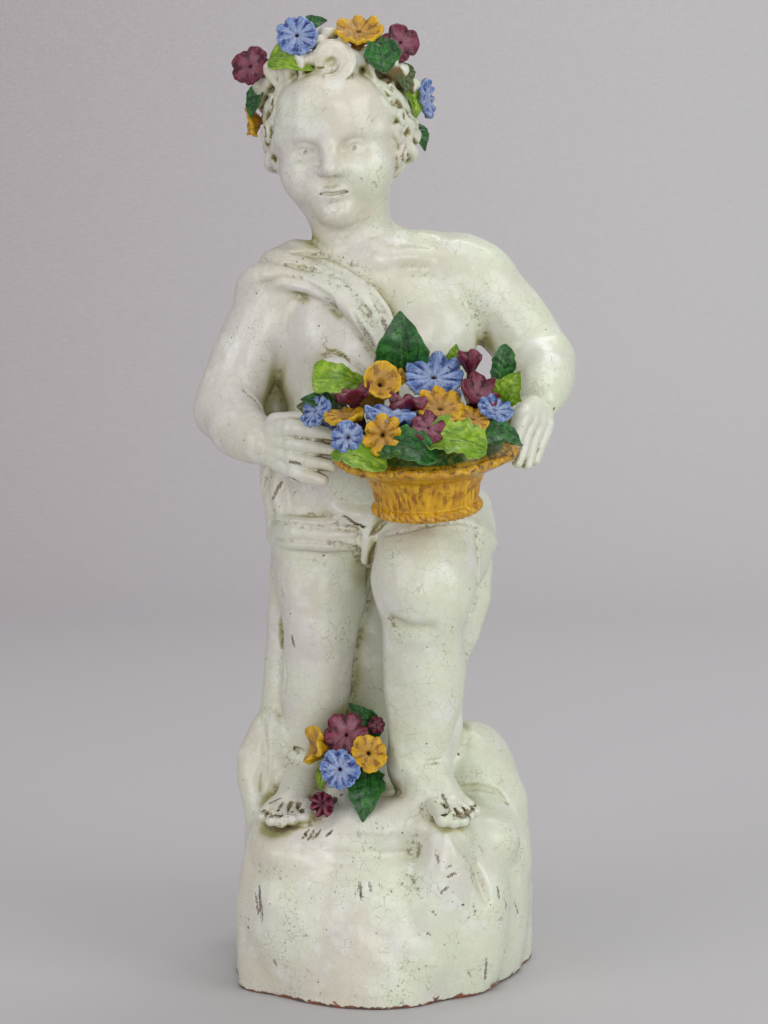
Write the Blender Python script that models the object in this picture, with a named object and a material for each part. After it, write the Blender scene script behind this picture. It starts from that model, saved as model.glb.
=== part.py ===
"""Glazed faience putto on a rocky mound, holding a basket of flowers.

The figure, its drapery and the mound are one hollow casting, modelled here as one solid.
The basket, the flowers and the leaves were formed one by one and pressed on before firing,
so each of them is a piece of its own. +X is to the viewer's right, -Y towards the viewer.
"""

import math

import bmesh
import bpy
from mathutils import Matrix, Vector, noise

# Driving sizes, in metres.
STATUE_HEIGHT = 0.78  # from the underside to the top of the highest flower
PRESSED_GAP = 0.0003  # left between two pieces that were pressed together
PETAL_THICKNESS = 0.0034
LEAF_THICKNESS = 0.0032
SMALL_FLOWER = 31.0  # flowers narrower than this are drawn with four lobes, the others with five

# Every form of the figure is drawn in units of 1/780 of the height, a millimetre at full size.
DRAWN_HEIGHT = 780.0
UNIT = STATUE_HEIGHT / DRAWN_HEIGHT

# How finely the clay forms are fused, smoothed and faceted.
FUSE_CELL = 2.7 * UNIT
SMOOTH_ROUNDS = 1
FIGURE_TRIANGLES = 4250
DETAIL_CARE = 0.0002  # how much finer the facets stay on the head, hands and feet

# Head: a frame at the middle of the skull, turned and tipped as the figure looks.
HEAD_CENTRE = Vector((-37, -10, 686))
HEAD_TURN = math.radians(-8)
HEAD_NOD = math.radians(9)
HEAD_LEAN = math.radians(-4)

# Wreath: a roll of clay round the head, high in front and low behind.
WREATH_CENTRE = Vector((0, 12, 30))
WREATH_RADIUS = 58.0
WREATH_SLOPE = math.radians(36)
WREATH_ROLL = 8.0

# Basket: a frame at the middle of its brim, tipped towards the viewer.
BRIM_CENTRE = Vector((31, -124, 436))
BASKET_TIP = math.radians(12)
BASKET_LEAN = math.radians(-3)
BASKET_HEIGHT = 44.0
BASKET_FOOT_RADIUS = 42.0
BASKET_WAIST_RADIUS = 39.5
BASKET_BRIM_RADIUS = 70.0
BASKET_DEPTH_SHARE = 0.86  # the bowl is a little shallower front to back than it is wide
BRIM_THICKNESS = 5.0
BED_HEIGHT = 29.0  # the mound of clay that fills the basket and carries its flowers
FOOT_ROLL_HEIGHT = 9.0

# The mound's footprint, anticlockwise from its foremost point as seen from above.
MOUND_OUTLINE = (
    (-10, -118),
    (30, -105),
    (67, -68),
    (97, -32),
    (117, 22),
    (123, 76),
    (106, 116),
    (66, 130),
    (8, 128),
    (-52, 118),
    (-96, 88),
    (-116, 40),
    (-120, -8),
    (-114, -46),
    (-92, -74),
    (-54, -106),
)

# The lump between the feet that carries the lower flowers, from its foot up.
POSY_STEM = (Vector((-28, -44, 140)), Vector((-26, -34, 176)), Vector((-22, -26, 204)))

GLAZES = {
    "white_glaze": ((0.80, 0.79, 0.70, 1), 0.22),
    "ochre_glaze": ((0.72, 0.38, 0.04, 1), 0.2),
    "blue_glaze": ((0.16, 0.29, 0.62, 1), 0.18),
    "purple_glaze": ((0.33, 0.05, 0.12, 1), 0.2),
    "yellow_glaze": ((0.80, 0.47, 0.03, 1), 0.2),
    "dark_green_glaze": ((0.02, 0.14, 0.04, 1), 0.18),
    "lime_green_glaze": ((0.30, 0.50, 0.03, 1), 0.18),
    "olive_glaze": ((0.20, 0.20, 0.02, 1), 0.22),
}


# Frames and directions

HEAD = (
    Matrix.Translation(HEAD_CENTRE)
    @ Matrix.Rotation(HEAD_LEAN, 4, "Y")
    @ Matrix.Rotation(HEAD_TURN, 4, "Z")
    @ Matrix.Rotation(HEAD_NOD, 4, "X")
)
BASKET = (
    Matrix.Translation(BRIM_CENTRE)
    @ Matrix.Rotation(BASKET_LEAN, 4, "Y")
    @ Matrix.Rotation(BASKET_TIP, 4, "X")
)
FIGURE = Matrix.Identity(4)


def facing(bearing, rise):
    """A unit vector: bearing 0 looks at the viewer and 90 to the right, rise is above level."""
    b, e = math.radians(bearing), math.radians(rise)
    return Vector((math.sin(b) * math.cos(e), -math.cos(b) * math.cos(e), math.sin(e)))


def wreath_point(angle):
    """The wreath's centre line in the head's frame; 0 is in front, 90 on the viewer's right."""
    a = math.radians(angle)
    side, along = WREATH_RADIUS * math.sin(a), WREATH_RADIUS * math.cos(a)
    forward = Vector((0, -math.cos(WREATH_SLOPE), math.sin(WREATH_SLOPE)))
    return WREATH_CENTRE + Vector((side, 0, 0)) + forward * along


# Meshes

def ring_frame(tangent, previous):
    """Two unit vectors across a tube, turned as little as possible from the last pair."""
    across = previous - tangent * previous.dot(tangent)
    across.normalize()
    return across, tangent.cross(across)


def skin_rings(bm, rings):
    """Closes a row of vertex rings, all of one length, into a tube with flat ends."""
    for lower, upper in zip(rings, rings[1:]):
        for i in range(len(lower)):
            j = (i + 1) % len(lower)
            bm.faces.new((lower[i], lower[j], upper[j], upper[i]))
    bm.faces.new(reversed(rings[0]))
    bm.faces.new(rings[-1])


def curve_through(stations, steps):
    """Points on a smooth curve through the stations, steps to a span."""
    ends = [stations[0], *stations, stations[-1]]
    found = []
    for a, b, c, d in zip(ends, ends[1:], ends[2:], ends[3:]):
        for k in range(steps):
            t = k / steps
            found.append(
                0.5
                * (
                    2 * b
                    + (c - a) * t
                    + (2 * a - 5 * b + 4 * c - d) * t * t
                    + (3 * b - a - 3 * c + d) * t * t * t
                )
            )
    return [*found, stations[-1]]


def limb(bm, *stations, frame=FIGURE, sides=14, steps=4):
    """A rounded tube through stations (x, y, z, radius), with round ends."""
    line = curve_through([Vector(s) for s in stations], steps)
    centres = [p.to_3d() for p in line]
    radii = [p[3] for p in line]
    tangents = [
        (centres[min(i + 1, len(line) - 1)] - centres[max(i - 1, 0)]).normalized()
        for i in range(len(line))
    ]
    stack = []
    for turn in (6, 35, 65):
        a = math.radians(turn)
        stack.append((centres[0] - tangents[0] * radii[0] * math.cos(a), tangents[0], radii[0] * math.sin(a)))
    stack.extend(zip(centres, tangents, radii))
    for turn in (65, 35, 6):
        a = math.radians(turn)
        stack.append((centres[-1] + tangents[-1] * radii[-1] * math.cos(a), tangents[-1], radii[-1] * math.sin(a)))
    across = tangents[0].orthogonal()
    rings = []
    for centre, tangent, radius in stack:
        across, over = ring_frame(tangent, across)
        turns = (2 * math.pi * k / sides for k in range(sides))
        rings.append(
            [bm.verts.new(frame @ (centre + (across * math.cos(t) + over * math.sin(t)) * radius)) for t in turns]
        )
    skin_rings(bm, rings)


def ball(bm, centre, radii, turn=(0, 0, 0), frame=FIGURE):
    """An ellipsoid, turned by degrees about X, Y and Z."""
    tilt = Matrix.Identity(4)
    for axis, degrees in zip("XYZ", turn):
        tilt = Matrix.Rotation(math.radians(degrees), 4, axis) @ tilt
    place = frame @ Matrix.Translation(centre) @ tilt @ Matrix.Diagonal((*radii, 1))
    bmesh.ops.create_uvsphere(bm, u_segments=24, v_segments=14, radius=1, matrix=place)


def new_object(name, bm, glaze):
    """Turns a mesh drawn in units into a named object in metres."""
    bmesh.ops.transform(bm, matrix=Matrix.Scale(UNIT, 4), verts=bm.verts)
    bmesh.ops.recalc_face_normals(bm, faces=bm.faces)
    bmesh.ops.triangulate(bm, faces=bm.faces)
    mesh = bpy.data.meshes.new(name)
    bm.to_mesh(mesh)
    bm.free()
    mesh.materials.append(bpy.data.materials[glaze])
    obj = bpy.data.objects.new(name, mesh)
    bpy.context.scene.collection.objects.link(obj)
    return obj


def make_glazes():
    for name, (colour, roughness) in GLAZES.items():
        material = bpy.data.materials.new(name)
        material.use_nodes = True
        shader = material.node_tree.nodes["Principled BSDF"]
        shader.inputs["Base Color"].default_value = colour
        shader.inputs["Roughness"].default_value = roughness
        shader.inputs["Metallic"].default_value = 0.0


# The figure's clay forms, in drawn units

def add_mound(bm):
    """The rocky base: a rounded drum with lumps of rock on top."""
    outline = curve_through([Vector(p) for p in (*MOUND_OUTLINE, MOUND_OUTLINE[0])], 3)[:-1]
    # Height, share of the outline, and how far the ring's centre moves to the right and back.
    levels = (
        (-14, 1.0, 0, 0),
        (12, 1.0, 0, 0),
        (45, 0.975, 0, 0),
        (85, 0.965, 1, 0),
        (108, 0.95, 1, 0),
        (124, 0.88, 2, 2),
        (136, 0.7, 2, 6),
        (142, 0.3, 0, 10),
    )
    rings = []
    for height, share, right, back in levels:
        ring = []
        for point in outline:
            lump = 1 + 0.04 * noise.noise(Vector((point.x, point.y, 1.3 * height)) / 55)
            ring.append(bm.verts.new((point.x * share * lump + right, point.y * share * lump + back, height)))
        rings.append(ring)
    skin_rings(bm, rings)
    # Stones behind, at the right, and under each foot.
    ball(bm, (72, 56, 118), (48, 60, 80))
    ball(bm, (10, 84, 92), (74, 46, 76))
    ball(bm, (-60, 66, 84), (56, 56, 74))
    ball(bm, (44, -34, 58), (56, 66, 100), turn=(0, 0, 30))
    ball(bm, (84, 10, 56), (38, 66, 92))
    ball(bm, (-66, -38, 60), (54, 62, 78))
    ball(bm, (-70, -50, 116), (38, 42, 20))
    # Broad ribs that run down the sides.
    limb(bm, (-98, -52, -20, 20), (-95, -50, 70, 21), (-88, -42, 122, 20))
    limb(bm, (100, 30, -20, 24), (98, 32, 80, 26), (92, 34, 128, 28))


def add_toes(bm, heel, toes, ball_width, turned):
    """A foot's front: five toes fanned from the ball of the foot."""
    for k in range(5):
        spread = ball_width * (k - 2) / 4
        side = Vector((math.cos(turned), math.sin(turned), 0)) * spread
        reach = 1 - 0.1 * abs(k - 1.5)
        start = heel + (toes - heel) * 0.45 + side * 0.9
        end = heel + (toes - heel) * reach + side * 1.15
        limb(bm, (*start, 6.6), (*end, 5.6), sides=8, steps=2)


def add_legs(bm):
    # The straight leg, on the viewer's left.
    limb(bm, (-48, 4, 372, 46), (-50, -4, 330, 40), (-52, -12, 284, 30), (-56, -8, 236, 28), (-60, -6, 186, 21))
    ball(bm, (-51, -22, 286), (22, 18, 22))
    limb(bm, (-60, -2, 170, 21), (-69, -30, 157, 17), (-76, -48, 149, 14))
    add_toes(bm, Vector((-70, -30, 155)), Vector((-83, -79, 141)), 27, math.radians(-14))
    # The bent leg, on the viewer's right, with its foot on a higher stone.
    limb(bm, (44, 2, 366, 48), (40, -38, 357, 47), (32, -72, 341, 40))
    limb(bm, (32, -74, 332, 37), (31, -66, 290, 32), (32, -56, 252, 33), (29, -52, 208, 26), (28, -50, 188, 25))
    ball(bm, (30, -88, 328), (28, 24, 32))
    limb(bm, (28, -48, 178, 25), (37, -64, 168, 21), (47, -78, 158, 17))
    add_toes(bm, Vector((40, -68, 164)), Vector((63, -106, 148)), 28, math.radians(32))


def add_trunk(bm):
    ball(bm, (-4, 6, 372), (86, 54, 44))
    ball(bm, (-8, -6, 428), (80, 58, 62))
    ball(bm, (-6, 4, 500), (80, 52, 74))
    ball(bm, (-38, -12, 530), (44, 34, 44))
    ball(bm, (32, -12, 530), (44, 34, 44))
    limb(bm, (-4, 4, 588, 24), (40, 6, 586, 25), (76, 6, 572, 30))
    ball(bm, (-8, 6, 564), (80, 37, 34))
    limb(bm, (-18, 6, 582, 37), (-26, 2, 612, 33), (-32, -4, 642, 33))
    # Seat and shoulder blade, seen only from behind.
    ball(bm, (-38, 32, 384), (44, 36, 42))
    ball(bm, (34, 32, 384), (44, 36, 42))
    ball(bm, (34, 26, 540), (38, 30, 42))


def add_finger(bm, wrist, knuckle, tip, thick):
    """One ray of the hand, from the wrist over the knuckle to the fingertip."""
    middle = knuckle.lerp(tip, 0.5) + (knuckle - wrist).normalized() * thick * 0.3
    limb(
        bm,
        (*wrist, thick * 1.6),
        (*knuckle, thick * 1.3),
        (*middle, thick * 1.05),
        (*tip, thick * 0.85),
        sides=10,
        steps=3,
    )


def add_arms(bm):
    # The arm on the viewer's left, its fingers round the brim.
    limb(bm, (-72, 6, 570, 32), (-99, 4, 532, 30), (-122, -2, 484, 27), (-126, -14, 466, 26))
    limb(bm, (-126, -14, 466, 26), (-114, -44, 451, 23), (-97, -70, 443, 18))
    for k in range(4):
        wrist = Vector((-94, -74, 449 - 4 * k))
        knuckle = Vector((-72 + 1.5 * k, -98, 455 - 11 * k))
        tip = Vector((-38 - (0, 0, 2, 9)[k], -112 - k, 451 - 11.5 * k))
        add_finger(bm, wrist, knuckle, tip, 6.0)
    limb(bm, (-84, -78, 458, 9), (-62, -82, 460, 7.5), (-48, -92, 456, 6))
    # The arm on the viewer's right, its fingers hooked under the brim.
    limb(bm, (62, 4, 572, 34), (98, 6, 543, 31), (122, 2, 512, 29), (126, -8, 502, 27))
    limb(bm, (126, -8, 502, 27), (130, -38, 490, 22), (123, -66, 477, 17))
    for k in range(4):
        wrist = Vector((123 - 2 * k, -70 - 2 * k, 472))
        knuckle = Vector((125 - 6 * k, -80 - 7 * k, 458 + 2 * k))
        tip = Vector((117 - 7 * k, -92 - 7 * k, 431 - (0, 3, 1, -4)[k]))
        add_finger(bm, wrist, knuckle, tip, 6.0)
    limb(bm, (112, -74, 470, 9), (100, -82, 466, 7.5), (92, -90, 458, 6))


def add_head(bm):
    ball(bm, (0, 7, 8), (54, 61, 56), frame=HEAD)
    ball(bm, (0, -16, -26), (43, 38, 40), frame=HEAD)
    ball(bm, (0, -40, -55), (15, 14, 13), frame=HEAD)
    # Brow, cheeks, eyelids and ears.
    limb(bm, (-36, -32, 6, 9), (-18, -44, 8, 9), (0, -47, 5, 8), (18, -44, 8, 9), (36, -32, 6, 9), frame=HEAD)
    ball(bm, (0, -30, 26), (40, 28, 28), frame=HEAD)
    for side in (-1, 1):
        ball(bm, (23 * side, -34, -25), (19, 18, 19), frame=HEAD)
        ball(bm, (19 * side, -43, -7), (9.5, 8, 6), frame=HEAD)
        ball(bm, (54 * side, 8, -8), (8, 12, 17), turn=(0, 12 * side, 0), frame=HEAD)
    # Nose, nostrils and lips.
    limb(bm, (0, -50, 0, 5), (0, -56, -10, 5.5), (0, -61, -20, 7.5), frame=HEAD)
    for side in (-1, 1):
        ball(bm, (7 * side, -56, -22), (5, 5, 4.5), frame=HEAD)
    limb(bm, (-13, -49, -37, 3), (0, -55, -36, 4.5), (13, -49, -37, 3), frame=HEAD, sides=8, steps=2)
    limb(bm, (-9, -49, -42, 3.5), (0, -53, -43, 5), (9, -49, -42, 3.5), frame=HEAD, sides=8, steps=2)
    add_hair(bm)


def add_hair(bm):
    """The forelock and its knot, side locks over the ears, and rows of curls behind."""
    ball(bm, (11, -29, 60), (20, 16, 17), frame=HEAD)
    ball(bm, (2, -20, 79), (8, 8, 9), frame=HEAD)
    curl = ((-1, -40, 60, 4), (2, -38, 71, 6), (13, -34, 74, 7), (23, -34, 66, 7), (21, -41, 54, 6), (8, -45, 48, 5))
    limb(bm, *curl, frame=HEAD)
    # Side locks, and curls round the sides, back and crown.
    for side in (-1, 1):
        for turn, drop, out in ((48, 24, 55), (62, 12, 57), (74, -2, 57), (84, -18, 57), (96, -34, 52)):
            a = math.radians(turn)
            ball(bm, (side * out * math.sin(a), 8 - out * math.cos(a), drop), (8, 9, 10), frame=HEAD)
    for row, (drop, reach) in enumerate(((-10, 60), (-28, 55), (-44, 45))):
        for k in range(8):
            a = math.radians(110 + 20 * k + 10 * (row % 2))
            ball(bm, (reach * 0.9 * math.sin(a), 8 - reach * math.cos(a), drop), (11, 11, 12), frame=HEAD)
    for k in range(8):
        a = math.radians(45 * k)
        ball(bm, (30 * math.sin(a), 14 - 32 * math.cos(a), 56), (13, 13, 9), frame=HEAD)


def add_wreath_roll(bm):
    turns = [wreath_point(10 * k) for k in range(37)]
    limb(bm, *[Vector((*p, WREATH_ROLL)) for p in turns], frame=HEAD, sides=10, steps=1)


def add_drapery(bm):
    """The cloth: over the shoulder, across the chest, round the hips and down the back."""
    # The rolled edge over the upper arm, then the folds beside it on the chest.
    folds = (
        ((-112, 14, 545, 11), (-108, -4, 566, 12), (-92, -18, 574, 12), (-56, -38, 568, 10), (-30, -50, 552, 8)),
        ((-92, 14, 578, 10), (-88, -4, 586, 10), (-62, -24, 580, 9), (-34, -40, 567, 8), (-12, -52, 549, 7)),
        ((-76, 22, 584, 9), (-70, 0, 593, 9), (-44, -20, 585, 8), (-20, -37, 569, 7), (-2, -50, 549, 6)),
    )
    for k, fold in enumerate(folds):
        limb(bm, *fold, (-12 + 8 * k, -57, 528 + 4 * k, 6), (8 + 5 * k, -60, 500 + 6 * k, 5))
    limb(bm, (-48, -50, 520, 5), (-26, -56, 516, 5), (-16, -60, 500, 5), (-8, -62, 486, 4))
    # A small turned-over fold beside the basket.
    limb(bm, (-52, -54, 486, 5), (-40, -58, 497, 6), (-26, -60, 491, 6), (-20, -60, 478, 4))
    # The flat hem round the straight leg, and the tighter hem over the bent one.
    for level in (362, 373):
        limb(bm, (-90, 0, level, 7), (-76, -32, level, 7), (-50, -45, level, 7), (-26, -44, level, 7), (-8, -32, level, 7))
    limb(bm, (-8, -40, 364, 6), (10, -64, 379, 6), (38, -80, 381, 6), (66, -64, 376, 6), (84, -34, 360, 6))
    # The knot where the two ends cross, and its hanging tail.
    limb(bm, (-36, -50, 392, 5), (-16, -56, 380, 7), (0, -58, 392, 5))
    limb(bm, (-10, -52, 378, 8), (-11, -50, 362, 7), (-16, -46, 346, 5))
    # Bunched cloth at the hip on the viewer's left, behind the forearm.
    limb(bm, (-86, 8, 446, 10), (-90, 2, 412, 12), (-86, -2, 376, 9))
    limb(bm, (-80, -14, 430, 8), (-85, -18, 400, 8), (-80, -24, 380, 6))
    # Folds that fall behind the legs to the mound.
    falls = (
        (-72, -82, -90, 14, 20),
        (-58, -70, -80, 32, 24),
        (-32, -34, -40, 38, 28),
        (0, -6, -8, 36, 30),
        (32, 28, 22, 40, 26),
        (56, 48, 44, 28, 22),
    )
    for top, middle, foot, back, radius in falls:
        limb(
            bm,
            (0.9 * top, back + 2, 420, radius * 0.8),
            (top, back + 4, 366, radius),
            (middle, back, 262, radius - 3),
            (foot, back, 140, radius),
        )
    limb(bm, (72, 18, 384, 16), (71, 22, 310, 18), (58, 28, 256, 12))
    limb(bm, (-98, 6, 206, 10), (-109, -4, 176, 13), (-103, -14, 150, 15), (-98, -26, 122, 13))
    ball(bm, (-90, -2, 160), (22, 24, 56))
    ball(bm, (-14, 26, 262), (52, 24, 100))
    # The cloth that hangs behind the arm and closes the gap beside the waist.
    ball(bm, (-90, 22, 464), (24, 14, 52))
    # The cloth on the back, and its folds from the shoulder to the far hip.
    ball(bm, (-34, 26, 526), (60, 34, 72))
    ball(bm, (-8, 28, 440), (80, 38, 76))
    for k in range(4):
        limb(
            bm,
            (-78 + 12 * k, 34, 578 - 5 * k, 8),
            (-50 + 16 * k, 54, 516 - 8 * k, 8),
            (-14 + 17 * k, 60, 450 - 10 * k, 8),
            (18 + 15 * k, 56, 392 - 4 * k, 8),
        )


def add_posy_clump(bm):
    """The lump of clay between the feet that carries the lower flowers."""
    limb(bm, *[Vector((*p, r)) for p, r in zip(POSY_STEM, (24, 18, 11))])


def make_figure():
    bm = bmesh.new()
    for add in (add_mound, add_legs, add_trunk, add_arms, add_head, add_wreath_roll, add_drapery, add_posy_clump):
        add(bm)
    figure = new_object("putto_figure", bm, "white_glaze")
    fuse = figure.modifiers.new("fuse", "REMESH")
    fuse.mode = "VOXEL"
    fuse.voxel_size = FUSE_CELL
    fuse.use_smooth_shade = True
    smooth = figure.modifiers.new("smooth", "SMOOTH")
    smooth.factor = 0.5
    smooth.iterations = SMOOTH_ROUNDS
    bake(figure)
    weigh_details(figure)
    facet = figure.modifiers.new("facet", "DECIMATE")
    facet.use_collapse_triangulate = True
    facet.ratio = FIGURE_TRIANGLES / count_triangles(figure)
    facet.vertex_group = "plain"
    facet.vertex_group_factor = DETAIL_CARE
    trim = figure.modifiers.new("flat_underside", "BOOLEAN")
    trim.object = floor_cutter()
    trim.operation = "DIFFERENCE"
    bake(figure)
    return figure


def weigh_details(figure):
    """Marks how freely facets may be dropped: less near the head, the hands and the toes."""
    spots = (
        (HEAD_CENTRE, 75),
        (Vector((-62, -100, 440)), 42),
        (Vector((112, -92, 452)), 42),
        (Vector((-80, -66, 148)), 32),
        (Vector((52, -112, 160)), 34),
    )
    plain = figure.vertex_groups.new(name="plain")
    for vert in figure.data.vertices:
        place = vert.co / UNIT
        near = max(1 - (place - spot).length / (2 * reach) for spot, reach in spots)
        plain.add([vert.index], 1 - 0.9 * min(1, max(0, 2 * near)), "REPLACE")


def floor_cutter():
    """A block whose top is the level that the statue stands on."""
    bm = bmesh.new()
    place = Matrix.Translation((0, 0, -DRAWN_HEIGHT / 2))
    bmesh.ops.create_cube(bm, size=DRAWN_HEIGHT, matrix=place)
    cutter = new_object("floor_cutter", bm, "white_glaze")
    hide_helper(cutter)
    return cutter


def hide_helper(obj):
    obj.hide_render = True
    obj.display_type = "WIRE"


def evaluated_mesh(obj):
    graph = bpy.context.evaluated_depsgraph_get()
    return bpy.data.meshes.new_from_object(obj.evaluated_get(graph))


def count_triangles(obj):
    obj.data.calc_loop_triangles()
    return len(obj.data.loop_triangles)


def bake(obj):
    """Replaces the object's mesh by what its modifiers make of it, without loose crumbs."""
    mesh = evaluated_mesh(obj)
    obj.modifiers.clear()
    bm = bmesh.new()
    bm.from_mesh(mesh)
    drop_crumbs(bm)
    bmesh.ops.dissolve_limit(bm, angle_limit=math.radians(0.4), verts=bm.verts, edges=bm.edges)
    bmesh.ops.triangulate(bm, faces=bm.faces)
    bm.to_mesh(mesh)
    bm.free()
    obj.data = mesh


def drop_crumbs(bm):
    """Keeps only the largest connected piece of a mesh."""
    left, islands = set(bm.verts), []
    while left:
        front = [left.pop()]
        island = list(front)
        while front:
            for edge in front.pop().link_edges:
                for vert in edge.verts:
                    if vert in left:
                        left.remove(vert)
                        front.append(vert)
                        island.append(vert)
        islands.append(island)
    islands.sort(key=len)
    for island in islands[:-1]:
        bmesh.ops.delete(bm, geom=island, context="VERTS")


# Basket

def make_basket():
    """The turned bowl with its rolled foot, flared brim and the filled bed on top."""
    sides = 24
    wall_top = BRIM_THICKNESS * 1.6
    # Radius and height above the brim, from the foot up the outside and over the bed.
    profile = (
        (BASKET_FOOT_RADIUS * 0.86, -BASKET_HEIGHT),
        (BASKET_FOOT_RADIUS, -BASKET_HEIGHT + FOOT_ROLL_HEIGHT * 0.3),
        (BASKET_FOOT_RADIUS, -BASKET_HEIGHT + FOOT_ROLL_HEIGHT * 0.75),
        (BASKET_WAIST_RADIUS, -BASKET_HEIGHT + FOOT_ROLL_HEIGHT),
        (BASKET_WAIST_RADIUS + 2, -BASKET_HEIGHT * 0.5),
        (BASKET_WAIST_RADIUS + 7, -wall_top * 1.6),
        (BASKET_BRIM_RADIUS * 0.84, -wall_top * 0.7),
        (BASKET_BRIM_RADIUS, 0),
        (BASKET_BRIM_RADIUS - 1, BRIM_THICKNESS),
        (BASKET_BRIM_RADIUS * 0.86, BRIM_THICKNESS),
        (BASKET_BRIM_RADIUS * 0.7, BED_HEIGHT * 0.62),
        (BASKET_BRIM_RADIUS * 0.42, BED_HEIGHT * 0.92),
        (BASKET_BRIM_RADIUS * 0.12, BED_HEIGHT),
    )
    bm = bmesh.new()
    rings = []
    for radius, height in profile:
        turns = (2 * math.pi * k / sides for k in range(sides))
        rings.append(
            [
                bm.verts.new(BASKET @ Vector((radius * math.cos(t), radius * BASKET_DEPTH_SHARE * math.sin(t), height)))
                for t in turns
            ]
        )
    skin_rings(bm, rings)
    return new_object("flower_basket", bm, "ochre_glaze")


# Flowers and leaves

def flower_mesh(bm, centre, look, root, diameter, cup):
    """A lobed cup facing look, on a short stem that starts near root, inside what carries it."""
    thickness = PETAL_THICKNESS / UNIT
    radius = diameter / 2
    calyx = radius * 0.34 + thickness
    away = ((centre - root).normalized() + look * 0.6).normalized()
    foot = centre - away * max((centre - root).length, calyx + radius * 0.5)
    turn = look.to_track_quat("Z", "Y")
    stem_turn = look.rotation_difference(away) @ turn
    # Origin and turn of each ring, how far it is lobed, its radius and its height.
    rings = (
        (foot, stem_turn, 0.0, radius * 0.16, 0.0),
        (centre, turn, 0.0, radius * 0.26, -calyx),
        (centre, turn, 0.75, radius, radius * cup - thickness * 0.5),
        (centre, turn, 1.0, radius * 0.96, radius * cup + thickness * 0.5),
        (centre, turn, 0.3, radius * 0.34, radius * 0.06),
    )
    sides = 8 if diameter < SMALL_FLOWER else 10
    made = []
    for origin, ring_turn, lobing, ring_radius, height in rings:
        ring = []
        for k in range(sides):
            t = 2 * math.pi * k / sides
            reach = ring_radius * (1 - 0.2 * lobing * (k % 2))
            lift = height + radius * 0.07 * lobing * (1 - 2 * (k % 2))
            ring.append(bm.verts.new(origin + ring_turn @ Vector((reach * math.cos(t), reach * math.sin(t), lift))))
        made.append(ring)
    skin_rings(bm, made)


def leaf_mesh(bm, base, tip, look, width, curl=0.12):
    """A pointed leaf from base to tip, its face towards look, folded along the midrib."""
    thickness = LEAF_THICKNESS / UNIT
    along = tip - base
    length = along.length
    along.normalize()
    up = (look - along * look.dot(along)).normalized()
    side = along.cross(up)
    shares = ((0.0, 0.22), (0.3, 0.92), (0.62, 0.8), (1.0, 0.1))
    rings = []
    for t, share in shares:
        middle = base + along * length * t + up * length * curl * math.sin(math.pi * t)
        half = width / 2 * share
        wing = up * half * 0.28
        rings.append(
            [
                bm.verts.new(middle - side * half + wing),
                bm.verts.new(middle),
                bm.verts.new(middle + side * half + wing),
                bm.verts.new(middle + side * half * 0.96 + wing - up * thickness),
                bm.verts.new(middle - up * thickness),
                bm.verts.new(middle - side * half * 0.96 + wing - up * thickness),
            ]
        )
    skin_rings(bm, rings)


# Basket flowers: name, glaze, place in the basket's frame, bearing and rise of its face,
# diameter and depth of the cup.
BASKET_FLOWERS = (
    ("large_blue", "blue_glaze", (10, 18, 56), 2, 44, 45, 0.3),
    ("yellow_trumpet", "yellow_glaze", (-31, 8, 56), 12, 26, 30, 0.6),
    ("tall_purple", "purple_glaze", (38, 19, 65), -8, 70, 21, 0.9),
    ("open_purple", "purple_glaze", (42, 3, 44), 34, 40, 34, 0.5),
    ("flat_purple_left", "purple_glaze", (-52, 1, 52), -22, 72, 30, 0.15),
    ("flat_purple_middle", "purple_glaze", (-12, -11, 47), -10, 68, 29, 0.15),
    ("flat_yellow_left", "yellow_glaze", (-59, -16, 39), -16, 72, 31, 0.15),
    ("flat_blue_middle", "blue_glaze", (-25, -28, 42), -6, 74, 37, 0.15),
    ("large_yellow", "yellow_glaze", (13, -14, 40), 4, 52, 38, 0.25),
    ("low_yellow_right", "yellow_glaze", (37, -23, 33), 24, 54, 26, 0.15),
    ("far_blue_left", "blue_glaze", (-81, 2, 39), -46, 36, 27, 0.15),
    ("low_blue_left", "blue_glaze", (-57, -41, 29), -16, 8, 26, 0.15),
    ("low_yellow_middle", "yellow_glaze", (-31, -49, 32), -4, 12, 30, 0.15),
    ("low_purple_middle", "purple_glaze", (3, -45, 34), 10, 40, 27, 0.15),
    ("blue_right", "blue_glaze", (54, -11, 36), 30, 50, 27, 0.3),
    ("small_yellow", "yellow_glaze", (-18, 22, 57), 8, 40, 16, 0.4),
    ("back_yellow", "yellow_glaze", (-40, 40, 36), -150, 50, 28, 0.2),
    ("back_blue", "blue_glaze", (18, 46, 36), 170, 50, 28, 0.2),
)

# Basket leaves: name, glaze, base and tip in the basket's frame, where the face looks, width.
BASKET_LEAVES = (
    ("tall_dark", "dark_green_glaze", (-14, 36, 50), (-13, 32, 106), (0, 25), 43),
    ("long_lime_left", "lime_green_glaze", (-40, 26, 48), (-82, 13, 62), (-10, 26), 30),
    ("small_lime_back", "lime_green_glaze", (23, 36, 56), (29, 38, 77), (10, 20), 14),
    ("dark_right_upright", "dark_green_glaze", (60, 27, 46), (66, 29, 77), (10, 10), 19),
    ("lime_right", "lime_green_glaze", (62, 6, 36), (75, 0, 62), (-10, 20), 24),
    ("lime_low_left", "lime_green_glaze", (-68, -38, 19), (-30, -60, 9), (-12, 44), 29),
    ("dark_low_middle", "dark_green_glaze", (-35, -48, 25), (8, -65, 14), (-4, 42), 31),
    ("large_lime_low_right", "lime_green_glaze", (0, -46, 26), (45, -56, 19), (12, 42), 38),
    ("dark_low_right", "dark_green_glaze", (40, -30, 22), (73, -29, 13), (34, 48), 25),
    ("olive_far_left", "olive_glaze", (-56, 22, 24), (-96, 24, 38), (-8, 34), 32),
    ("teal_far_left", "dark_green_glaze", (-66, 14, 40), (-92, 10, 47), (-20, 30), 15),
)

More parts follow.
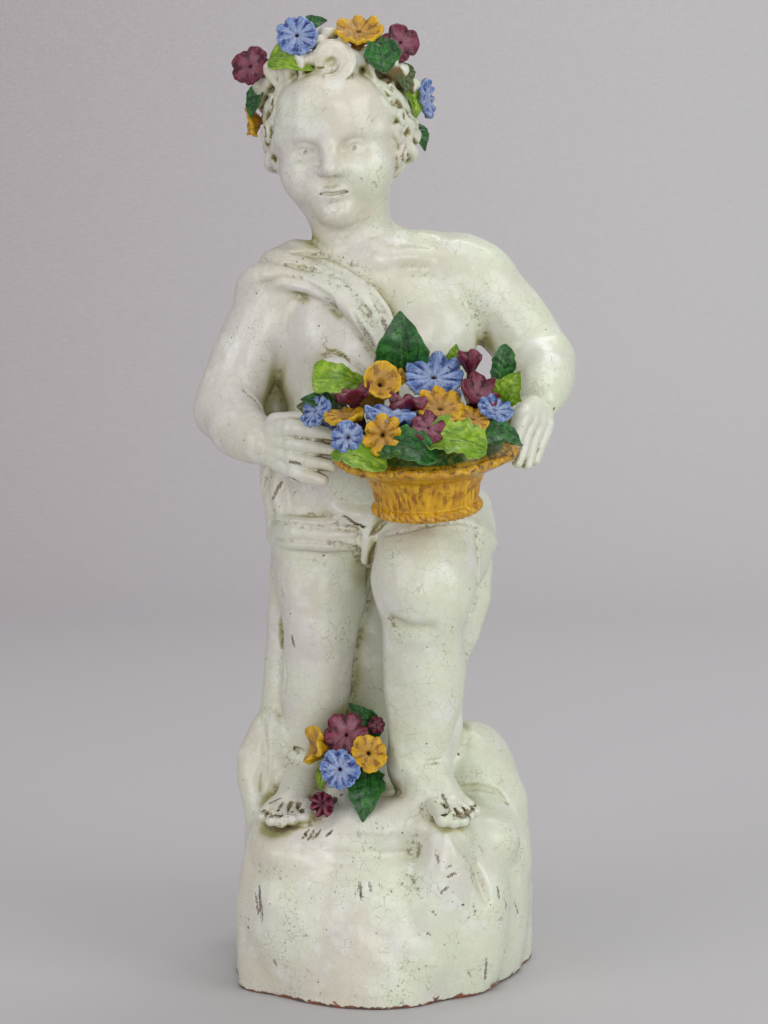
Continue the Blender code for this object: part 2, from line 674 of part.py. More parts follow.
# Wreath flowers: name, glaze, place in drawn units, bearing and rise of the face, diameter
# and depth of the cup. They run round the head from the viewer's left.
WREATH_FLOWERS = (
    ("purple_left", "purple_glaze", (-106, -26, 739), -24, 14, 32, 0.18),
    ("blue_front", "blue_glaze", (-68, -52, 760), -10, 22, 34, 0.18),
    ("yellow_front", "yellow_glaze", (-20, -46, 763), 6, 52, 37, 0.3),
    ("purple_right", "purple_glaze", (13, -32, 757), 22, 20, 32, 0.18),
    ("blue_right", "blue_glaze", (35, 0, 716), 72, 6, 32, 0.18),
    ("yellow_left", "yellow_glaze", (-108, 12, 699), -84, 0, 24, 0.18),
    ("yellow_back", "yellow_glaze", (10, 54, 694), 136, 4, 30, 0.18),
    ("purple_back", "purple_glaze", (-34, 66, 686), 178, 2, 30, 0.18),
    ("blue_back", "blue_glaze", (-80, 48, 692), 222, 4, 30, 0.18),
)

# Wreath leaves: name, glaze, base and tip in drawn units, where the face looks, width.
WREATH_LEAVES = (
    ("lime_left", "lime_green_glaze", (-90, -42, 744), (-60, -62, 738), (-16, 24), 27),
    ("dark_top", "dark_green_glaze", (-67, -32, 768), (-45, -26, 775), (0, 24), 13),
    ("dark_front", "dark_green_glaze", (1, -62, 731), (-5, -50, 761), (4, 16), 29),
    ("olive_right", "olive_glaze", (12, -32, 742), (18, -30, 718), (30, 10), 18),
    ("lime_right", "lime_green_glaze", (16, -12, 730), (26, -14, 700), (50, 6), 24),
    ("dark_low_right", "dark_green_glaze", (20, 22, 700), (34, 18, 676), (50, 6), 18),
    ("dark_low_left", "dark_green_glaze", (-94, -6, 728), (-107, -10, 700), (-50, 6), 22),
    ("lime_back_right", "lime_green_glaze", (-8, 58, 690), (-14, 68, 668), (170, 10), 20),
    ("dark_back_left", "dark_green_glaze", (-60, 58, 690), (-62, 66, 666), (200, 10), 22),
)

# The posy at the feet, in the same form.
POSY_FLOWERS = (
    ("purple", "purple_glaze", (-30, -66, 209), 0, 20, 36, 0.18),
    ("blue", "blue_glaze", (-35, -80, 184), -8, 6, 32, 0.18),
    ("yellow_right", "yellow_glaze", (-12, -74, 196), 16, 24, 30, 0.25),
    ("yellow_left", "yellow_glaze", (-52, -62, 198), -66, 22, 34, 0.5),
    ("purple_bud", "purple_glaze", (-48, -84, 158), -16, -2, 20, 0.8),
    ("small_purple", "purple_glaze", (-6, -50, 214), 10, 14, 14, 0.3),
)
POSY_LEAVES = (
    ("dark_top", "dark_green_glaze", (-4, -42, 203), (-28, -46, 231), (2, 20), 20),
    ("dark_low", "dark_green_glaze", (-14, -58, 182), (-17, -88, 144), (2, 22), 33),
    ("lime", "lime_green_glaze", (-44, -60, 184), (-51, -72, 166), (-30, 10), 13),
)


def root_on_bed(centre):
    """Where a basket sprig's stem starts: inside the bed, below the sprig."""
    reach = Vector((centre.x, centre.y / BASKET_DEPTH_SHARE, 0))
    limit = BASKET_BRIM_RADIUS * 0.62
    if reach.length > limit:
        reach = reach.normalized() * limit
    depth = BED_HEIGHT * (0.75 - 0.75 * (reach.length / BASKET_BRIM_RADIUS) ** 2)
    return Vector((reach.x, reach.y * BASKET_DEPTH_SHARE, depth))


def in_basket(place):
    """A place in the basket's frame, spread with its brim and raised with its bed."""
    spread = BASKET_BRIM_RADIUS / 70
    return Vector((place[0] * spread, place[1] * spread, place[2] + BED_HEIGHT - 29))


def basket_sprigs():
    """(name, glaze, mesh) of everything on the basket's bed."""
    for name, glaze, place, bearing, rise, diameter, cup in BASKET_FLOWERS:
        bm = bmesh.new()
        centre = in_basket(place)
        flower_mesh(bm, BASKET @ centre, facing(bearing, rise), BASKET @ root_on_bed(centre), diameter, cup)
        yield f"basket_flower_{name}", glaze, bm
    for name, glaze, base, tip, look, width in BASKET_LEAVES:
        bm = bmesh.new()
        leaf_mesh(bm, BASKET @ in_basket(base), BASKET @ in_basket(tip), facing(*look), width)
        yield f"basket_leaf_{name}", glaze, bm


def carried_sprigs(group, flowers, leaves, line):
    """(name, glaze, mesh) of the flowers and leaves pressed on a roll with this centre line."""
    for name, glaze, place, bearing, rise, diameter, cup in flowers:
        bm = bmesh.new()
        root = nearest_on(line, Vector(place))
        flower_mesh(bm, Vector(place), facing(bearing, rise), root, diameter, cup)
        yield f"{group}_flower_{name}", glaze, bm
    for name, glaze, base, tip, look, width in leaves:
        bm = bmesh.new()
        leaf_mesh(bm, Vector(base), Vector(tip), facing(*look), width)
        yield f"{group}_leaf_{name}", glaze, bm


def nearest_on(line, place):
    return min(curve_through(line, 6), key=lambda point: (point - place).length)


def make_sprigs(sprigs, carriers):
    """Makes each sprig and cuts it back from what carries it and from those already placed."""
    skins = list(carriers)
    for name, glaze, bm in sprigs:
        sprig = new_object(name, bm, glaze)
        skin = skin_of(sprig)
        for k, other in enumerate(skins):
            if not boxes_meet(sprig, other):
                continue
            cut = sprig.modifiers.new(f"cut_{k}", "BOOLEAN")
            cut.object = other
            cut.operation = "DIFFERENCE"
        bake(sprig)
        skins.append(skin)


def boxes_meet(a, b):
    """Whether the boxes round two objects' own meshes overlap."""
    boxes = []
    for obj in (a, b):
        corners = [v.co for v in obj.data.vertices]
        boxes.append([(min(c[i] for c in corners), max(c[i] for c in corners)) for i in range(3)])
    reach = 2 * PRESSED_GAP
    return all(lo < other_hi + reach and other_lo < hi + reach for (lo, hi), (other_lo, other_hi) in zip(*boxes))


def skin_of(obj):
    """A hidden copy of the object, every face of it moved out by the gap that is left round it."""
    mesh = obj.data.copy()
    bm = bmesh.new()
    bm.from_mesh(mesh)
    bm.normal_update()
    moves = []
    for vert in bm.verts:
        squarest = min(face.normal.dot(vert.normal) for face in vert.link_faces)
        moves.append(vert.normal * PRESSED_GAP / max(squarest, 0.3))
    for vert, move in zip(bm.verts, moves):
        vert.co += move
    bm.to_mesh(mesh)
    bm.free()
    skin = bpy.data.objects.new(obj.name + "_skin", mesh)
    bpy.context.scene.collection.objects.link(skin)
    hide_helper(skin)
    return skin


def main():
    for obj in list(bpy.data.objects):
        bpy.data.objects.remove(obj)
    make_glazes()
    figure = make_figure()
    figure_skin = skin_of(figure)
    basket = make_basket()
    trim = basket.modifiers.new("hands_and_body", "BOOLEAN")
    trim.object = figure_skin
    trim.operation = "DIFFERENCE"
    bake(basket)
    basket_skin = skin_of(basket)
    make_sprigs(basket_sprigs(), [figure_skin, basket_skin])
    wreath_line = [HEAD @ wreath_point(10 * k) for k in range(37)]
    make_sprigs(carried_sprigs("wreath", WREATH_FLOWERS, WREATH_LEAVES, wreath_line), [figure_skin])
    make_sprigs(carried_sprigs("posy", POSY_FLOWERS, POSY_LEAVES, list(POSY_STEM)), [figure_skin])


main()
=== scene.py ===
import math
from functools import partial

import bpy
import numpy as np
from mathutils import Matrix, Vector


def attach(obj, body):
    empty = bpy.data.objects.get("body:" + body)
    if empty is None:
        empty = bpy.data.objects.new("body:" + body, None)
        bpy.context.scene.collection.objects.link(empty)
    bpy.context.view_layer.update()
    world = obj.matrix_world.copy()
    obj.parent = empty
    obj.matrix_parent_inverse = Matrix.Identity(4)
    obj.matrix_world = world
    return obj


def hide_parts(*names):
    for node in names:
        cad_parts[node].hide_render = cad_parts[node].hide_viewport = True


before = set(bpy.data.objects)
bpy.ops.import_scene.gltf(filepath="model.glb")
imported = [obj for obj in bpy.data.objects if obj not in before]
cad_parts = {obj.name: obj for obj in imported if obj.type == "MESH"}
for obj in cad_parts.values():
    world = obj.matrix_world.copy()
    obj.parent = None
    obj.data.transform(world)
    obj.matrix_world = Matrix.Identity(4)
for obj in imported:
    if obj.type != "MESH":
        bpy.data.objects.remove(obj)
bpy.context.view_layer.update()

# Looks of the faience putto. The figure is modelled as soft-joined clay forms, read as one
# function of distance and then meshed; the basket, flowers and leaves are drawn one by one.
# Lengths are in drawn units, a millimetre each, until a mesh is made.

UNIT = 0.001
BODY = "root"

# The head's frame, the wreath in it and the basket's frame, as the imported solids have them.
HEAD_CENTRE = Vector((-37, -10, 686))
HEAD_TURN = math.radians(-8)
HEAD_NOD = math.radians(9)
HEAD_LEAN = math.radians(-4)
WREATH_CENTRE = Vector((0, 12, 30))
WREATH_RADIUS = 58.0
WREATH_SLOPE = math.radians(36)
WREATH_ROLL = 8.0
BAND_RADIUS = 0.72 * WREATH_ROLL  # the bare band, thinner than the solid's roll
BRIM_CENTRE = Vector((31, -124, 436))
BASKET_TIP = math.radians(12)
BASKET_LEAN = math.radians(-3)
BASKET_HEIGHT = 44.0
FOOT_RADIUS = 42.0
WAIST_RADIUS = 39.5
BRIM_RADIUS = 70.0
DEPTH_SHARE = 0.86
BRIM_THICKNESS = 5.0
BED_HEIGHT = 29.0
PETAL_THICKNESS = 3.4
LEAF_THICKNESS = 3.2
POSY_STEM = (Vector((-28, -44, 140)), Vector((-26, -34, 176)), Vector((-22, -26, 204)))
FOOT_ROLL_HEIGHT = 9.0

HEAD = (
    Matrix.Translation(HEAD_CENTRE)
    @ Matrix.Rotation(HEAD_LEAN, 4, "Y")
    @ Matrix.Rotation(HEAD_TURN, 4, "Z")
    @ Matrix.Rotation(HEAD_NOD, 4, "X")
)
BASKET = (
    Matrix.Translation(BRIM_CENTRE)
    @ Matrix.Rotation(BASKET_LEAN, 4, "Y")
    @ Matrix.Rotation(BASKET_TIP, 4, "X")
)
FIGURE = Matrix.Identity(4)

# The camera that took the photograph, as estimated: place in drawn units, pitch and lens.
EYE = Vector((0, -1800, 550))
PITCH = math.radians(5.35)
FRAME_WIDTH, FRAME_HEIGHT = 768, 1024
FOCAL_PIXELS = 2204.0


# Directions and curves

def facing(bearing, rise):
    """A unit vector: bearing 0 looks at the viewer and 90 to the right, rise is above level."""
    b, e = math.radians(bearing), math.radians(rise)
    return Vector((math.sin(b) * math.cos(e), -math.cos(b) * math.cos(e), math.sin(e)))


def wreath_point(angle):
    """The wreath's centre line in the head's frame; 0 is in front, 90 on the viewer's right."""
    a = math.radians(angle)
    side, along = WREATH_RADIUS * math.sin(a), WREATH_RADIUS * math.cos(a)
    forward = Vector((0, -math.cos(WREATH_SLOPE), math.sin(WREATH_SLOPE)))
    return WREATH_CENTRE + Vector((side, 0, 0)) + forward * along


def curve_through(stations, steps):
    """Points on a smooth curve through the stations, steps to a span."""
    ends = [stations[0], *stations, stations[-1]]
    found = []
    for a, b, c, d in zip(ends, ends[1:], ends[2:], ends[3:]):
        for k in range(steps):
            t = k / steps
            bend, twist = 2 * a - 5 * b + 4 * c - d, 3 * b - a - 3 * c + d
            found.append(0.5 * (2 * b + (c - a) * t + bend * t * t + twist * t * t * t))
    return [*found, stations[-1]]


def sight(u, v):
    """The direction in which the photograph's camera sees a place in its picture, in pixels."""
    right = (u - FRAME_WIDTH / 2) / FOCAL_PIXELS
    down = (v - FRAME_HEIGHT / 2) / FOCAL_PIXELS
    forward = Vector((0, math.cos(PITCH), -math.sin(PITCH)))
    fall = Vector((0, -math.sin(PITCH), -math.cos(PITCH)))
    return (forward + Vector((right, 0, 0)) + fall * down).normalized()


# Clay as a function of distance

def soft_min(a, b, blend):
    """The smaller of two distances, rounded where they meet."""
    share = np.maximum(blend - np.abs(a - b), 0) / blend
    return np.minimum(a, b) - share * share * (blend * 0.25)


class Clay:
    """Tubes, balls and a rock, added or cut one after another with soft joints."""

    FAR = 500.0
    ROCK_EDGE = 34.0  # how softly the rock's top rounds into its wall
    ROCK_REACH = 190.0  # no part of the rock is further than this from its middle

    def __init__(self):
        self.forms = []
        self.spots = []
        self.owners = []
        self.segments = []

    def tube(self, *stations, place=FIGURE, steps=4, blend=5.0, cut=False):
        """A rounded tube through stations (x, y, z, radius)."""
        line = curve_through([Vector(s) for s in stations], steps)
        points = [place @ p.to_3d() for p in line]
        number = len(self.forms)
        self.forms.append(("tube", blend, cut, None))
        for k in range(len(line) - 1):
            a, b = points[k], points[k + 1]
            ra, rb = max(line[k][3], 0.05), max(line[k + 1][3], 0.05)
            along = b - a
            middle = (a + b) / 2
            self.spots.append((*middle, along.length / 2 + max(ra, rb)))
            self.owners.append(number)
            self.segments.append((*a, *along, 1 / max(along.length_squared, 1e-6), ra, rb - ra))

    def ball(self, centre, radii, turn=(0, 0, 0), place=FIGURE, blend=8.0, cut=False):
        """An ellipsoid, turned by degrees about X, Y and Z."""
        tilt = Matrix.Identity(4)
        for axis, degrees in zip("XYZ", turn):
            tilt = Matrix.Rotation(math.radians(degrees), 4, axis) @ tilt
        frame_of_ball = (place @ Matrix.Translation(centre) @ tilt).inverted()
        number = len(self.forms)
        self.forms.append(("ball", blend, cut, (np.array(frame_of_ball, dtype=np.float32), radii)))
        self.spots.append((*(place @ Vector(centre)), max(radii)))
        self.owners.append(number)
        self.segments.append((0.0,) * 9)

    def rock(self, reach, top, blend):
        """The mound: reach(x, y, z) is how far a place lies inside or outside its wall."""
        number = len(self.forms)
        self.forms.append(("rock", blend, False, (reach, top)))
        self.spots.append((0, 8, top / 2, self.ROCK_REACH))
        self.owners.append(number)
        self.segments.append((0.0,) * 9)

    def lock(self):
        """Packs the forms for reading."""
        spots = np.array(self.spots, dtype=np.float32)
        self.centres, self.reaches = spots[:, :3], spots[:, 3]
        self.owner_of = np.array(self.owners)
        self.blend_of = np.array([self.forms[k][1] for k in self.owners], dtype=np.float32)
        self.rows = np.array(self.segments, dtype=np.float32)

    def near(self, place, radius, slack):
        """The parts of forms that matter within radius of a place."""
        gap = np.sqrt(((self.centres - place) ** 2).sum(axis=1)) - self.reaches - radius
        return np.nonzero(gap < self.blend_of + slack)[0]

    def read(self, x, y, z, parts):
        """Distance from each place to the clay's surface, below zero inside."""
        distance = np.full(x.shape, self.FAR, dtype=np.float32)
        owners = self.owner_of[parts]
        starts = np.nonzero(np.diff(owners, prepend=-1))[0]
        for first, last in zip(starts, [*starts[1:], len(parts)]):
            kind, blend, cut, extra = self.forms[owners[first]]
            if kind == "tube":
                form = self.read_tube(x, y, z, parts[first:last])
            elif kind == "ball":
                form = self.read_ball(x, y, z, extra)
            else:
                reach, top = extra
                form = -soft_min(-reach(x, y, z), top - z, self.ROCK_EDGE)
            if cut:
                distance = -soft_min(-distance, form, blend)
            else:
                distance = soft_min(distance, form, blend)
        return distance

    def read_tube(self, x, y, z, parts):
        best = None
        for ax, ay, az, bx, by, bz, inverse, radius, growth in self.rows[parts]:
            px, py, pz = x - ax, y - ay, z - az
            t = np.clip((px * bx + py * by + pz * bz) * inverse, 0, 1)
            px -= t * bx
            py -= t * by
            pz -= t * bz
            gap = np.sqrt(px * px + py * py + pz * pz) - (radius + growth * t)
            best = gap if best is None else np.minimum(best, gap)
        return best

    def read_ball(self, x, y, z, extra):
        m, (rx, ry, rz) = extra
        px = (m[0, 0] * x + m[0, 1] * y + m[0, 2] * z + m[0, 3]) / rx
        py = (m[1, 0] * x + m[1, 1] * y + m[1, 2] * z + m[1, 3]) / ry
        pz = (m[2, 0] * x + m[2, 1] * y + m[2, 2] * z + m[2, 3]) / rz
        near = np.sqrt(px * px + py * py + pz * pz)
        steep = np.sqrt((px / rx) ** 2 + (py / ry) ** 2 + (pz / rz) ** 2)
        return near * (near - 1) / np.maximum(steep, 1e-5)


def unevenness(x, y, z):
    """The slight waviness of clay that was pressed and smoothed by hand."""
    slow = np.sin(0.13 * x + 0.07 * z + 1.7 * np.sin(0.05 * y))
    slow = slow * np.sin(0.11 * y + 0.09 * z + np.sin(0.06 * x))
    quick = np.sin(0.27 * x + 0.21 * z + 1.9 * np.sin(0.11 * y)) * np.sin(0.23 * z - 0.29 * x + 0.2 * y)
    return 0.6 * slow + 0.09 * quick


# From clay to meshes

BLOCK = 16  # grid points along the side of a block that is read in one go
CHUNK = 22.0  # size of the cubes in which the points of a mesh are read together
PROBE = 0.35  # how far from a point the clay is read to find the way out of it
PROBE_TURNS = np.array(((1, -1, -1), (-1, -1, 1), (-1, 1, -1), (1, 1, 1)), dtype=np.float32)
HOLLOW_REACHES = (2.6, 7.0, 18.0)  # how far off the surface its hollows are looked for
TRACE_ROUNDS = 90


def skin(clay, x, y, z, parts):
    """The finished surface: the clay with its unevenness, cut level underneath."""
    distance = clay.read(x, y, z, parts) + unevenness(x, y, z)
    return -soft_min(-distance, z, 1.6)


def grid_of(clay, low, high, cell):
    """The skin's distance on a grid, read only in the blocks that the skin passes through."""
    counts = np.ceil((high - low) / cell).astype(int) + 1
    field = np.full(counts, clay.FAR, dtype=np.float32)
    half = BLOCK * cell / 2
    starts = np.stack(
        np.meshgrid(*[np.arange(0, n - 1, BLOCK) for n in counts], indexing="ij"), axis=-1
    ).reshape(-1, 3)
    middles = (low + starts * cell + half).astype(np.float32)
    everything = np.arange(len(clay.owner_of))
    depth = skin(clay, *middles.T, everything)
    reach = half * math.sqrt(3)
    for start, middle, here in zip(starts, middles, depth):
        stop = np.minimum(start + BLOCK + 1, counts)
        window = tuple(slice(a, b) for a, b in zip(start, stop))
        if abs(here) > reach * 1.3 + 5:
            field[window] = here
            continue
        x, y, z = np.meshgrid(
            *[(low[k] + np.arange(start[k], stop[k]) * cell).astype(np.float32) for k in range(3)],
            indexing="ij",
        )
        parts = clay.near(middle, reach, 3.0)
        field[window] = skin(clay, x, y, z, parts)
    return field


def net_through(field, low, cell):
    """The surface where a grid of distances passes zero: its points and four-sided faces."""
    limits = np.array(field.shape) - 1
    inside = field < 0
    all_codes, all_places = [], []
    for axis in range(3):
        first, second = [slice(None)] * 3, [slice(None)] * 3
        first[axis], second[axis] = slice(None, -1), slice(1, None)
        a, b = field[tuple(first)], field[tuple(second)]
        crossing = inside[tuple(first)] != inside[tuple(second)]
        spots = np.argwhere(crossing)
        a, b = a[crossing], b[crossing]
        one, two = [k for k in range(3) if k != axis]
        cells = np.repeat(spots[:, None, :], 4, axis=1)
        cells[:, :, one] -= (0, 1, 1, 0)
        cells[:, :, two] -= (0, 0, 1, 1)
        flip = (a > 0) != (axis == 1)
        cells[flip] = cells[flip][:, ::-1]
        keep = ((cells >= 0) & (cells < limits)).all(axis=(1, 2))
        places = spots.astype(np.float64)
        places[:, axis] += a / (a - b)
        codes = (cells[..., 0] * limits[1] + cells[..., 1]) * limits[2] + cells[..., 2]
        all_codes.append(codes[keep])
        all_places.append(places[keep])
    codes, places = np.concatenate(all_codes), np.concatenate(all_places)
    _, index = np.unique(codes, return_inverse=True)
    index = index.reshape(-1, 4)
    weight = np.bincount(index.ravel())
    points = np.stack(
        [np.bincount(index.ravel(), weights=np.repeat(places[:, k], 4)) / weight for k in range(3)], axis=1
    )
    return low + points * cell, index


def chunks(points):
    """Groups of points that lie close together."""
    keys = np.floor(points / CHUNK).astype(np.int64) + 512
    codes = (keys[:, 0] * 1024 + keys[:, 1]) * 1024 + keys[:, 2]
    order = np.argsort(codes, kind="stable")
    return np.split(order, np.nonzero(np.diff(codes[order]))[0] + 1)


def extent(place):
    """The middle of a group of points and how far they reach from it."""
    middle = (place.min(axis=0) + place.max(axis=0)) / 2
    return middle, float(np.linalg.norm(place - middle, axis=1).max())


def settle(clay, points, reach_of_step):
    """Moves points onto the skin and finds its direction and how hollow it is around them."""
    points = points.astype(np.float32)
    normals = np.empty_like(points)
    hollows = np.empty((len(points), len(HOLLOW_REACHES)), dtype=np.float32)
    for group in chunks(points):
        place = points[group]
        middle, radius = extent(place)
        parts = clay.near(middle, radius, 4.0)
        probes = place[None] + PROBE_TURNS[:, None] * PROBE
        values = skin(clay, *np.moveaxis(probes, -1, 0), parts)
        slope = (values[..., None] * PROBE_TURNS[:, None]).sum(axis=0) / (4 * PROBE)
        steepness = np.maximum((slope**2).sum(axis=1, keepdims=True), 0.2)
        step = slope * values.mean(axis=0)[:, None] / steepness
        place = place - np.clip(step, -reach_of_step, reach_of_step)
        normal = slope / np.sqrt(steepness)
        points[group], normals[group] = place, normal
        parts = clay.near(middle, radius, 4.0 + max(HOLLOW_REACHES) * 2)
        for k, reach in enumerate(HOLLOW_REACHES):
            out = place + normal * reach
            hollows[group, k] = 1 - clay.read(*out.T, parts) / reach
    return points, normals, hollows


def nearness(clay, points):
    """Distance of each point from a clay of its own, such as the incised strokes."""
    found = np.full(len(points), clay.FAR, dtype=np.float32)
    for group in chunks(points):
        place = points[group].astype(np.float32)
        middle, radius = extent(place)
        parts = clay.near(middle, radius, 12.0)
        if len(parts):
            found[group] = clay.read(*place.T, parts)
    return found


def trace(clay, starts, directions):
    """Where lines of sight meet the clay."""
    places = np.array(starts, dtype=np.float32)
    directions = np.array(directions, dtype=np.float32)
    everything = np.arange(len(clay.owner_of))
    for _ in range(TRACE_ROUNDS):
        gap = clay.read(*places.T, everything)
        places += directions * np.clip(gap * 0.8, -4, 60)[:, None]
    return places


def placed(points, place):
    """Points moved by a frame of place and turn."""
    m = np.array(place)
    return points @ m[:3, :3].T + m[:3, 3]


def link(obj):
    bpy.context.scene.collection.objects.link(obj)
    return obj


def make_mesh(name, points, faces, values=None, normals=None):
    """A smooth object in metres from points in drawn units, with its painting values."""
    mesh = bpy.data.meshes.new(name)
    faces = np.asarray(faces)
    sides = faces.shape[1]
    mesh.vertices.add(len(points))
    mesh.vertices.foreach_set("co", (np.asarray(points) * UNIT).astype(np.float32).ravel())
    mesh.loops.add(faces.size)
    mesh.loops.foreach_set("vertex_index", faces.astype(np.int32).ravel())
    mesh.polygons.add(len(faces))
    mesh.polygons.foreach_set("loop_start", np.arange(0, faces.size, sides, dtype=np.int32))
    mesh.update(calc_edges=True)
    mesh.validate()
    mesh.shade_smooth()
    for key, value in (values or {}).items():
        layer = mesh.attributes.new(key, "FLOAT", "POINT")
        layer.data.foreach_set("value", np.asarray(value, dtype=np.float32))
    if normals is not None:
        mesh.normals_split_custom_set_from_vertices(normals.tolist())
    return link(bpy.data.objects.new(name, mesh))


# The figure's clay

# The mound's footprint, anticlockwise from its foremost point as seen from above.
MOUND_OUTLINE = (
    (-10, -118), (30, -105), (67, -68), (97, -32), (117, 22), (123, 76), (106, 116), (66, 130),
    (8, 128), (-52, 118), (-96, 88), (-116, 40), (-120, -8), (-114, -46), (-92, -74), (-54, -106),
)
# Height, share of the outline, and how far the ring's centre moves to the right and back.
MOUND_LEVELS = (
    (-14, 1.0, 0, 0),
    (12, 1.0, 0, 0),
    (45, 0.975, 0, 0),
    (70, 0.95, 1, 0),
    (90, 0.90, 1, 0),
    (108, 0.84, 2, 1),
    (122, 0.76, 2, 3),
    (134, 0.62, 2, 6),
    (142, 0.4, 0, 10),
)
MOUND_MIDDLE = (2, 8)
MOUND_TOP = 142
MOUND_TURNS = 240
MOUND_STEP = 2.0
MOUND_SMOOTHING = 60


def mound_wall():
    """The mound's wall as a table over bearing and height, and the function that reads it."""
    corners = [Vector((*p, 0)) for p in (*MOUND_OUTLINE, MOUND_OUTLINE[0])]
    x, y = np.array([p.to_2d() for p in curve_through(corners, 8)[:-1]]).T
    heights = np.arange(MOUND_LEVELS[0][0], MOUND_TOP + 8, MOUND_STEP)
    levels = np.array(MOUND_LEVELS, dtype=float)
    turns = np.linspace(-math.pi, math.pi, MOUND_TURNS + 1)
    table = []
    for height in heights:
        share, right, back = (np.interp(height, levels[:, 0], levels[:, k]) for k in (1, 2, 3))
        lump = 1 + 0.018 * np.sin(x / 31 + height / 47) + 0.014 * np.sin(y / 23 - height / 29 + 1.0)
        px = x * share * lump + right - MOUND_MIDDLE[0]
        py = y * share * lump + back - MOUND_MIDDLE[1]
        bearing = np.arctan2(py, px)
        order = np.argsort(bearing)
        table.append(np.interp(turns, bearing[order], np.hypot(px, py)[order], period=2 * math.pi))
    table = np.array(table)
    for _ in range(MOUND_SMOOTHING):
        inner = table[:, :-1]
        smooth = (np.roll(inner, 1, axis=1) + 2 * inner + np.roll(inner, -1, axis=1)) / 4
        table = np.concatenate([smooth, smooth[:, :1]], axis=1)
    rise = np.gradient(table, MOUND_STEP, axis=0)
    run = np.gradient(table, turns[1] - turns[0], axis=1) / table
    lean = 1 / np.sqrt(1 + rise**2 + run**2)

    def reach(x, y, z):
        px, py = x - MOUND_MIDDLE[0], y - MOUND_MIDDLE[1]
        column = (np.arctan2(py, px) + math.pi) / (2 * math.pi) * MOUND_TURNS
        row = np.clip((z - heights[0]) / MOUND_STEP, 0, len(heights) - 1.001)
        i = row.astype(int)
        j = np.minimum(column.astype(int), MOUND_TURNS - 1)
        s, t = row - i, column - j

        def lookup(values):
            low = values[i, j] * (1 - t) + values[i, j + 1] * t
            high = values[i + 1, j] * (1 - t) + values[i + 1, j + 1] * t
            return low * (1 - s) + high * s

        return ((np.hypot(px, py) - lookup(table)) * lookup(lean)).astype(np.float32)

    return reach


def add_mound(clay):
    clay.rock(mound_wall(), MOUND_TOP, blend=12)
    # Stones behind, at the right, and under each foot.
    clay.ball((72, 56, 118), (48, 60, 80), blend=9)
    clay.ball((10, 84, 92), (74, 46, 76), blend=9)
    clay.ball((-60, 66, 84), (56, 56, 74), blend=9)
    clay.ball((44, -34, 58), (56, 66, 100), turn=(0, 0, 30), blend=14)
    clay.ball((84, 10, 56), (38, 66, 92), blend=9)
    clay.ball((-66, -38, 60), (54, 62, 78), blend=14)
    clay.ball((-70, -50, 116), (38, 42, 20), blend=18)
    # Broad ribs that run down the sides.
    clay.tube((-98, -52, -20, 20), (-95, -50, 70, 21), (-88, -42, 122, 20), blend=10)
    clay.tube((-92, -22, 50, 22), (-91, -20, 116, 21), blend=14)
    clay.tube((100, 30, -20, 24), (98, 32, 80, 26), (92, 34, 128, 28), blend=12)
    # The ridge that runs down from under the right foot, and the lumps beside it.
    clay.tube((50, -84, 132, 20), (44, -86, 96, 22), (30, -84, 40, 24), blend=16)
    clay.ball((84, -34, 118), (26, 24, 22), blend=12)
    clay.ball((98, 8, 96), (24, 26, 34), blend=12)
    clay.ball((70, -62, 74), (24, 20, 34), blend=16)
    # Hollows that the thumb left between the stones.
    clay.tube((-108, 48, 120, 5), (-118, 52, 70, 6), (-122, 50, 24, 4), blend=10, cut=True)
    clay.tube((-20, 128, 150, 6), (-26, 132, 96, 7), (-18, 134, 30, 5), blend=12, cut=True)
    clay.tube((52, 128, 150, 5), (60, 134, 90, 7), (52, 136, 30, 5), blend=12, cut=True)


def add_toes(clay, heel, toes, ball_width, turned):
    """Five toes fanned from the ball of the foot, with their nails and the gaps between them."""
    side = Vector((math.cos(turned), math.sin(turned), 0))
    ends = []
    for k in range(5):
        spread = ball_width * (k - 2) / 4
        reach = 1 - 0.1 * abs(k - 1.5)
        start = heel + (toes - heel) * 0.45 + side * spread * 0.9
        end = heel + (toes - heel) * reach + side * spread * 1.15
        middle = start.lerp(end, 0.55) + Vector((0, 0, 1.0))
        clay.tube((*start, 6.8), (*middle, 5.8), (*end, 5.6), blend=2.4, steps=3)
        forward = (end - start).normalized()
        nail = end + forward * 2.6 + Vector((0, 0, 4.8))
        turn = math.degrees(math.atan2(forward.x, -forward.y))
        clay.ball(nail, (2.8, 3.4, 0.9), turn=(18, 0, turn), blend=0.8, cut=True)
        ends.append((start, end))
    for (start, end), (next_start, next_end) in zip(ends, ends[1:]):
        back = start.lerp(end, 0.35).lerp(next_start.lerp(next_end, 0.35), 0.5) + Vector((0, 0, 6.0))
        front = end.lerp(next_end, 0.5) + Vector((0, 0, 2.5))
        clay.tube((*back, 0.3), (*front, 0.8), blend=2.4, cut=True, steps=2)


LIMB_STEPS = 12  # segments between the stations of a limb, many so that it tapers smoothly


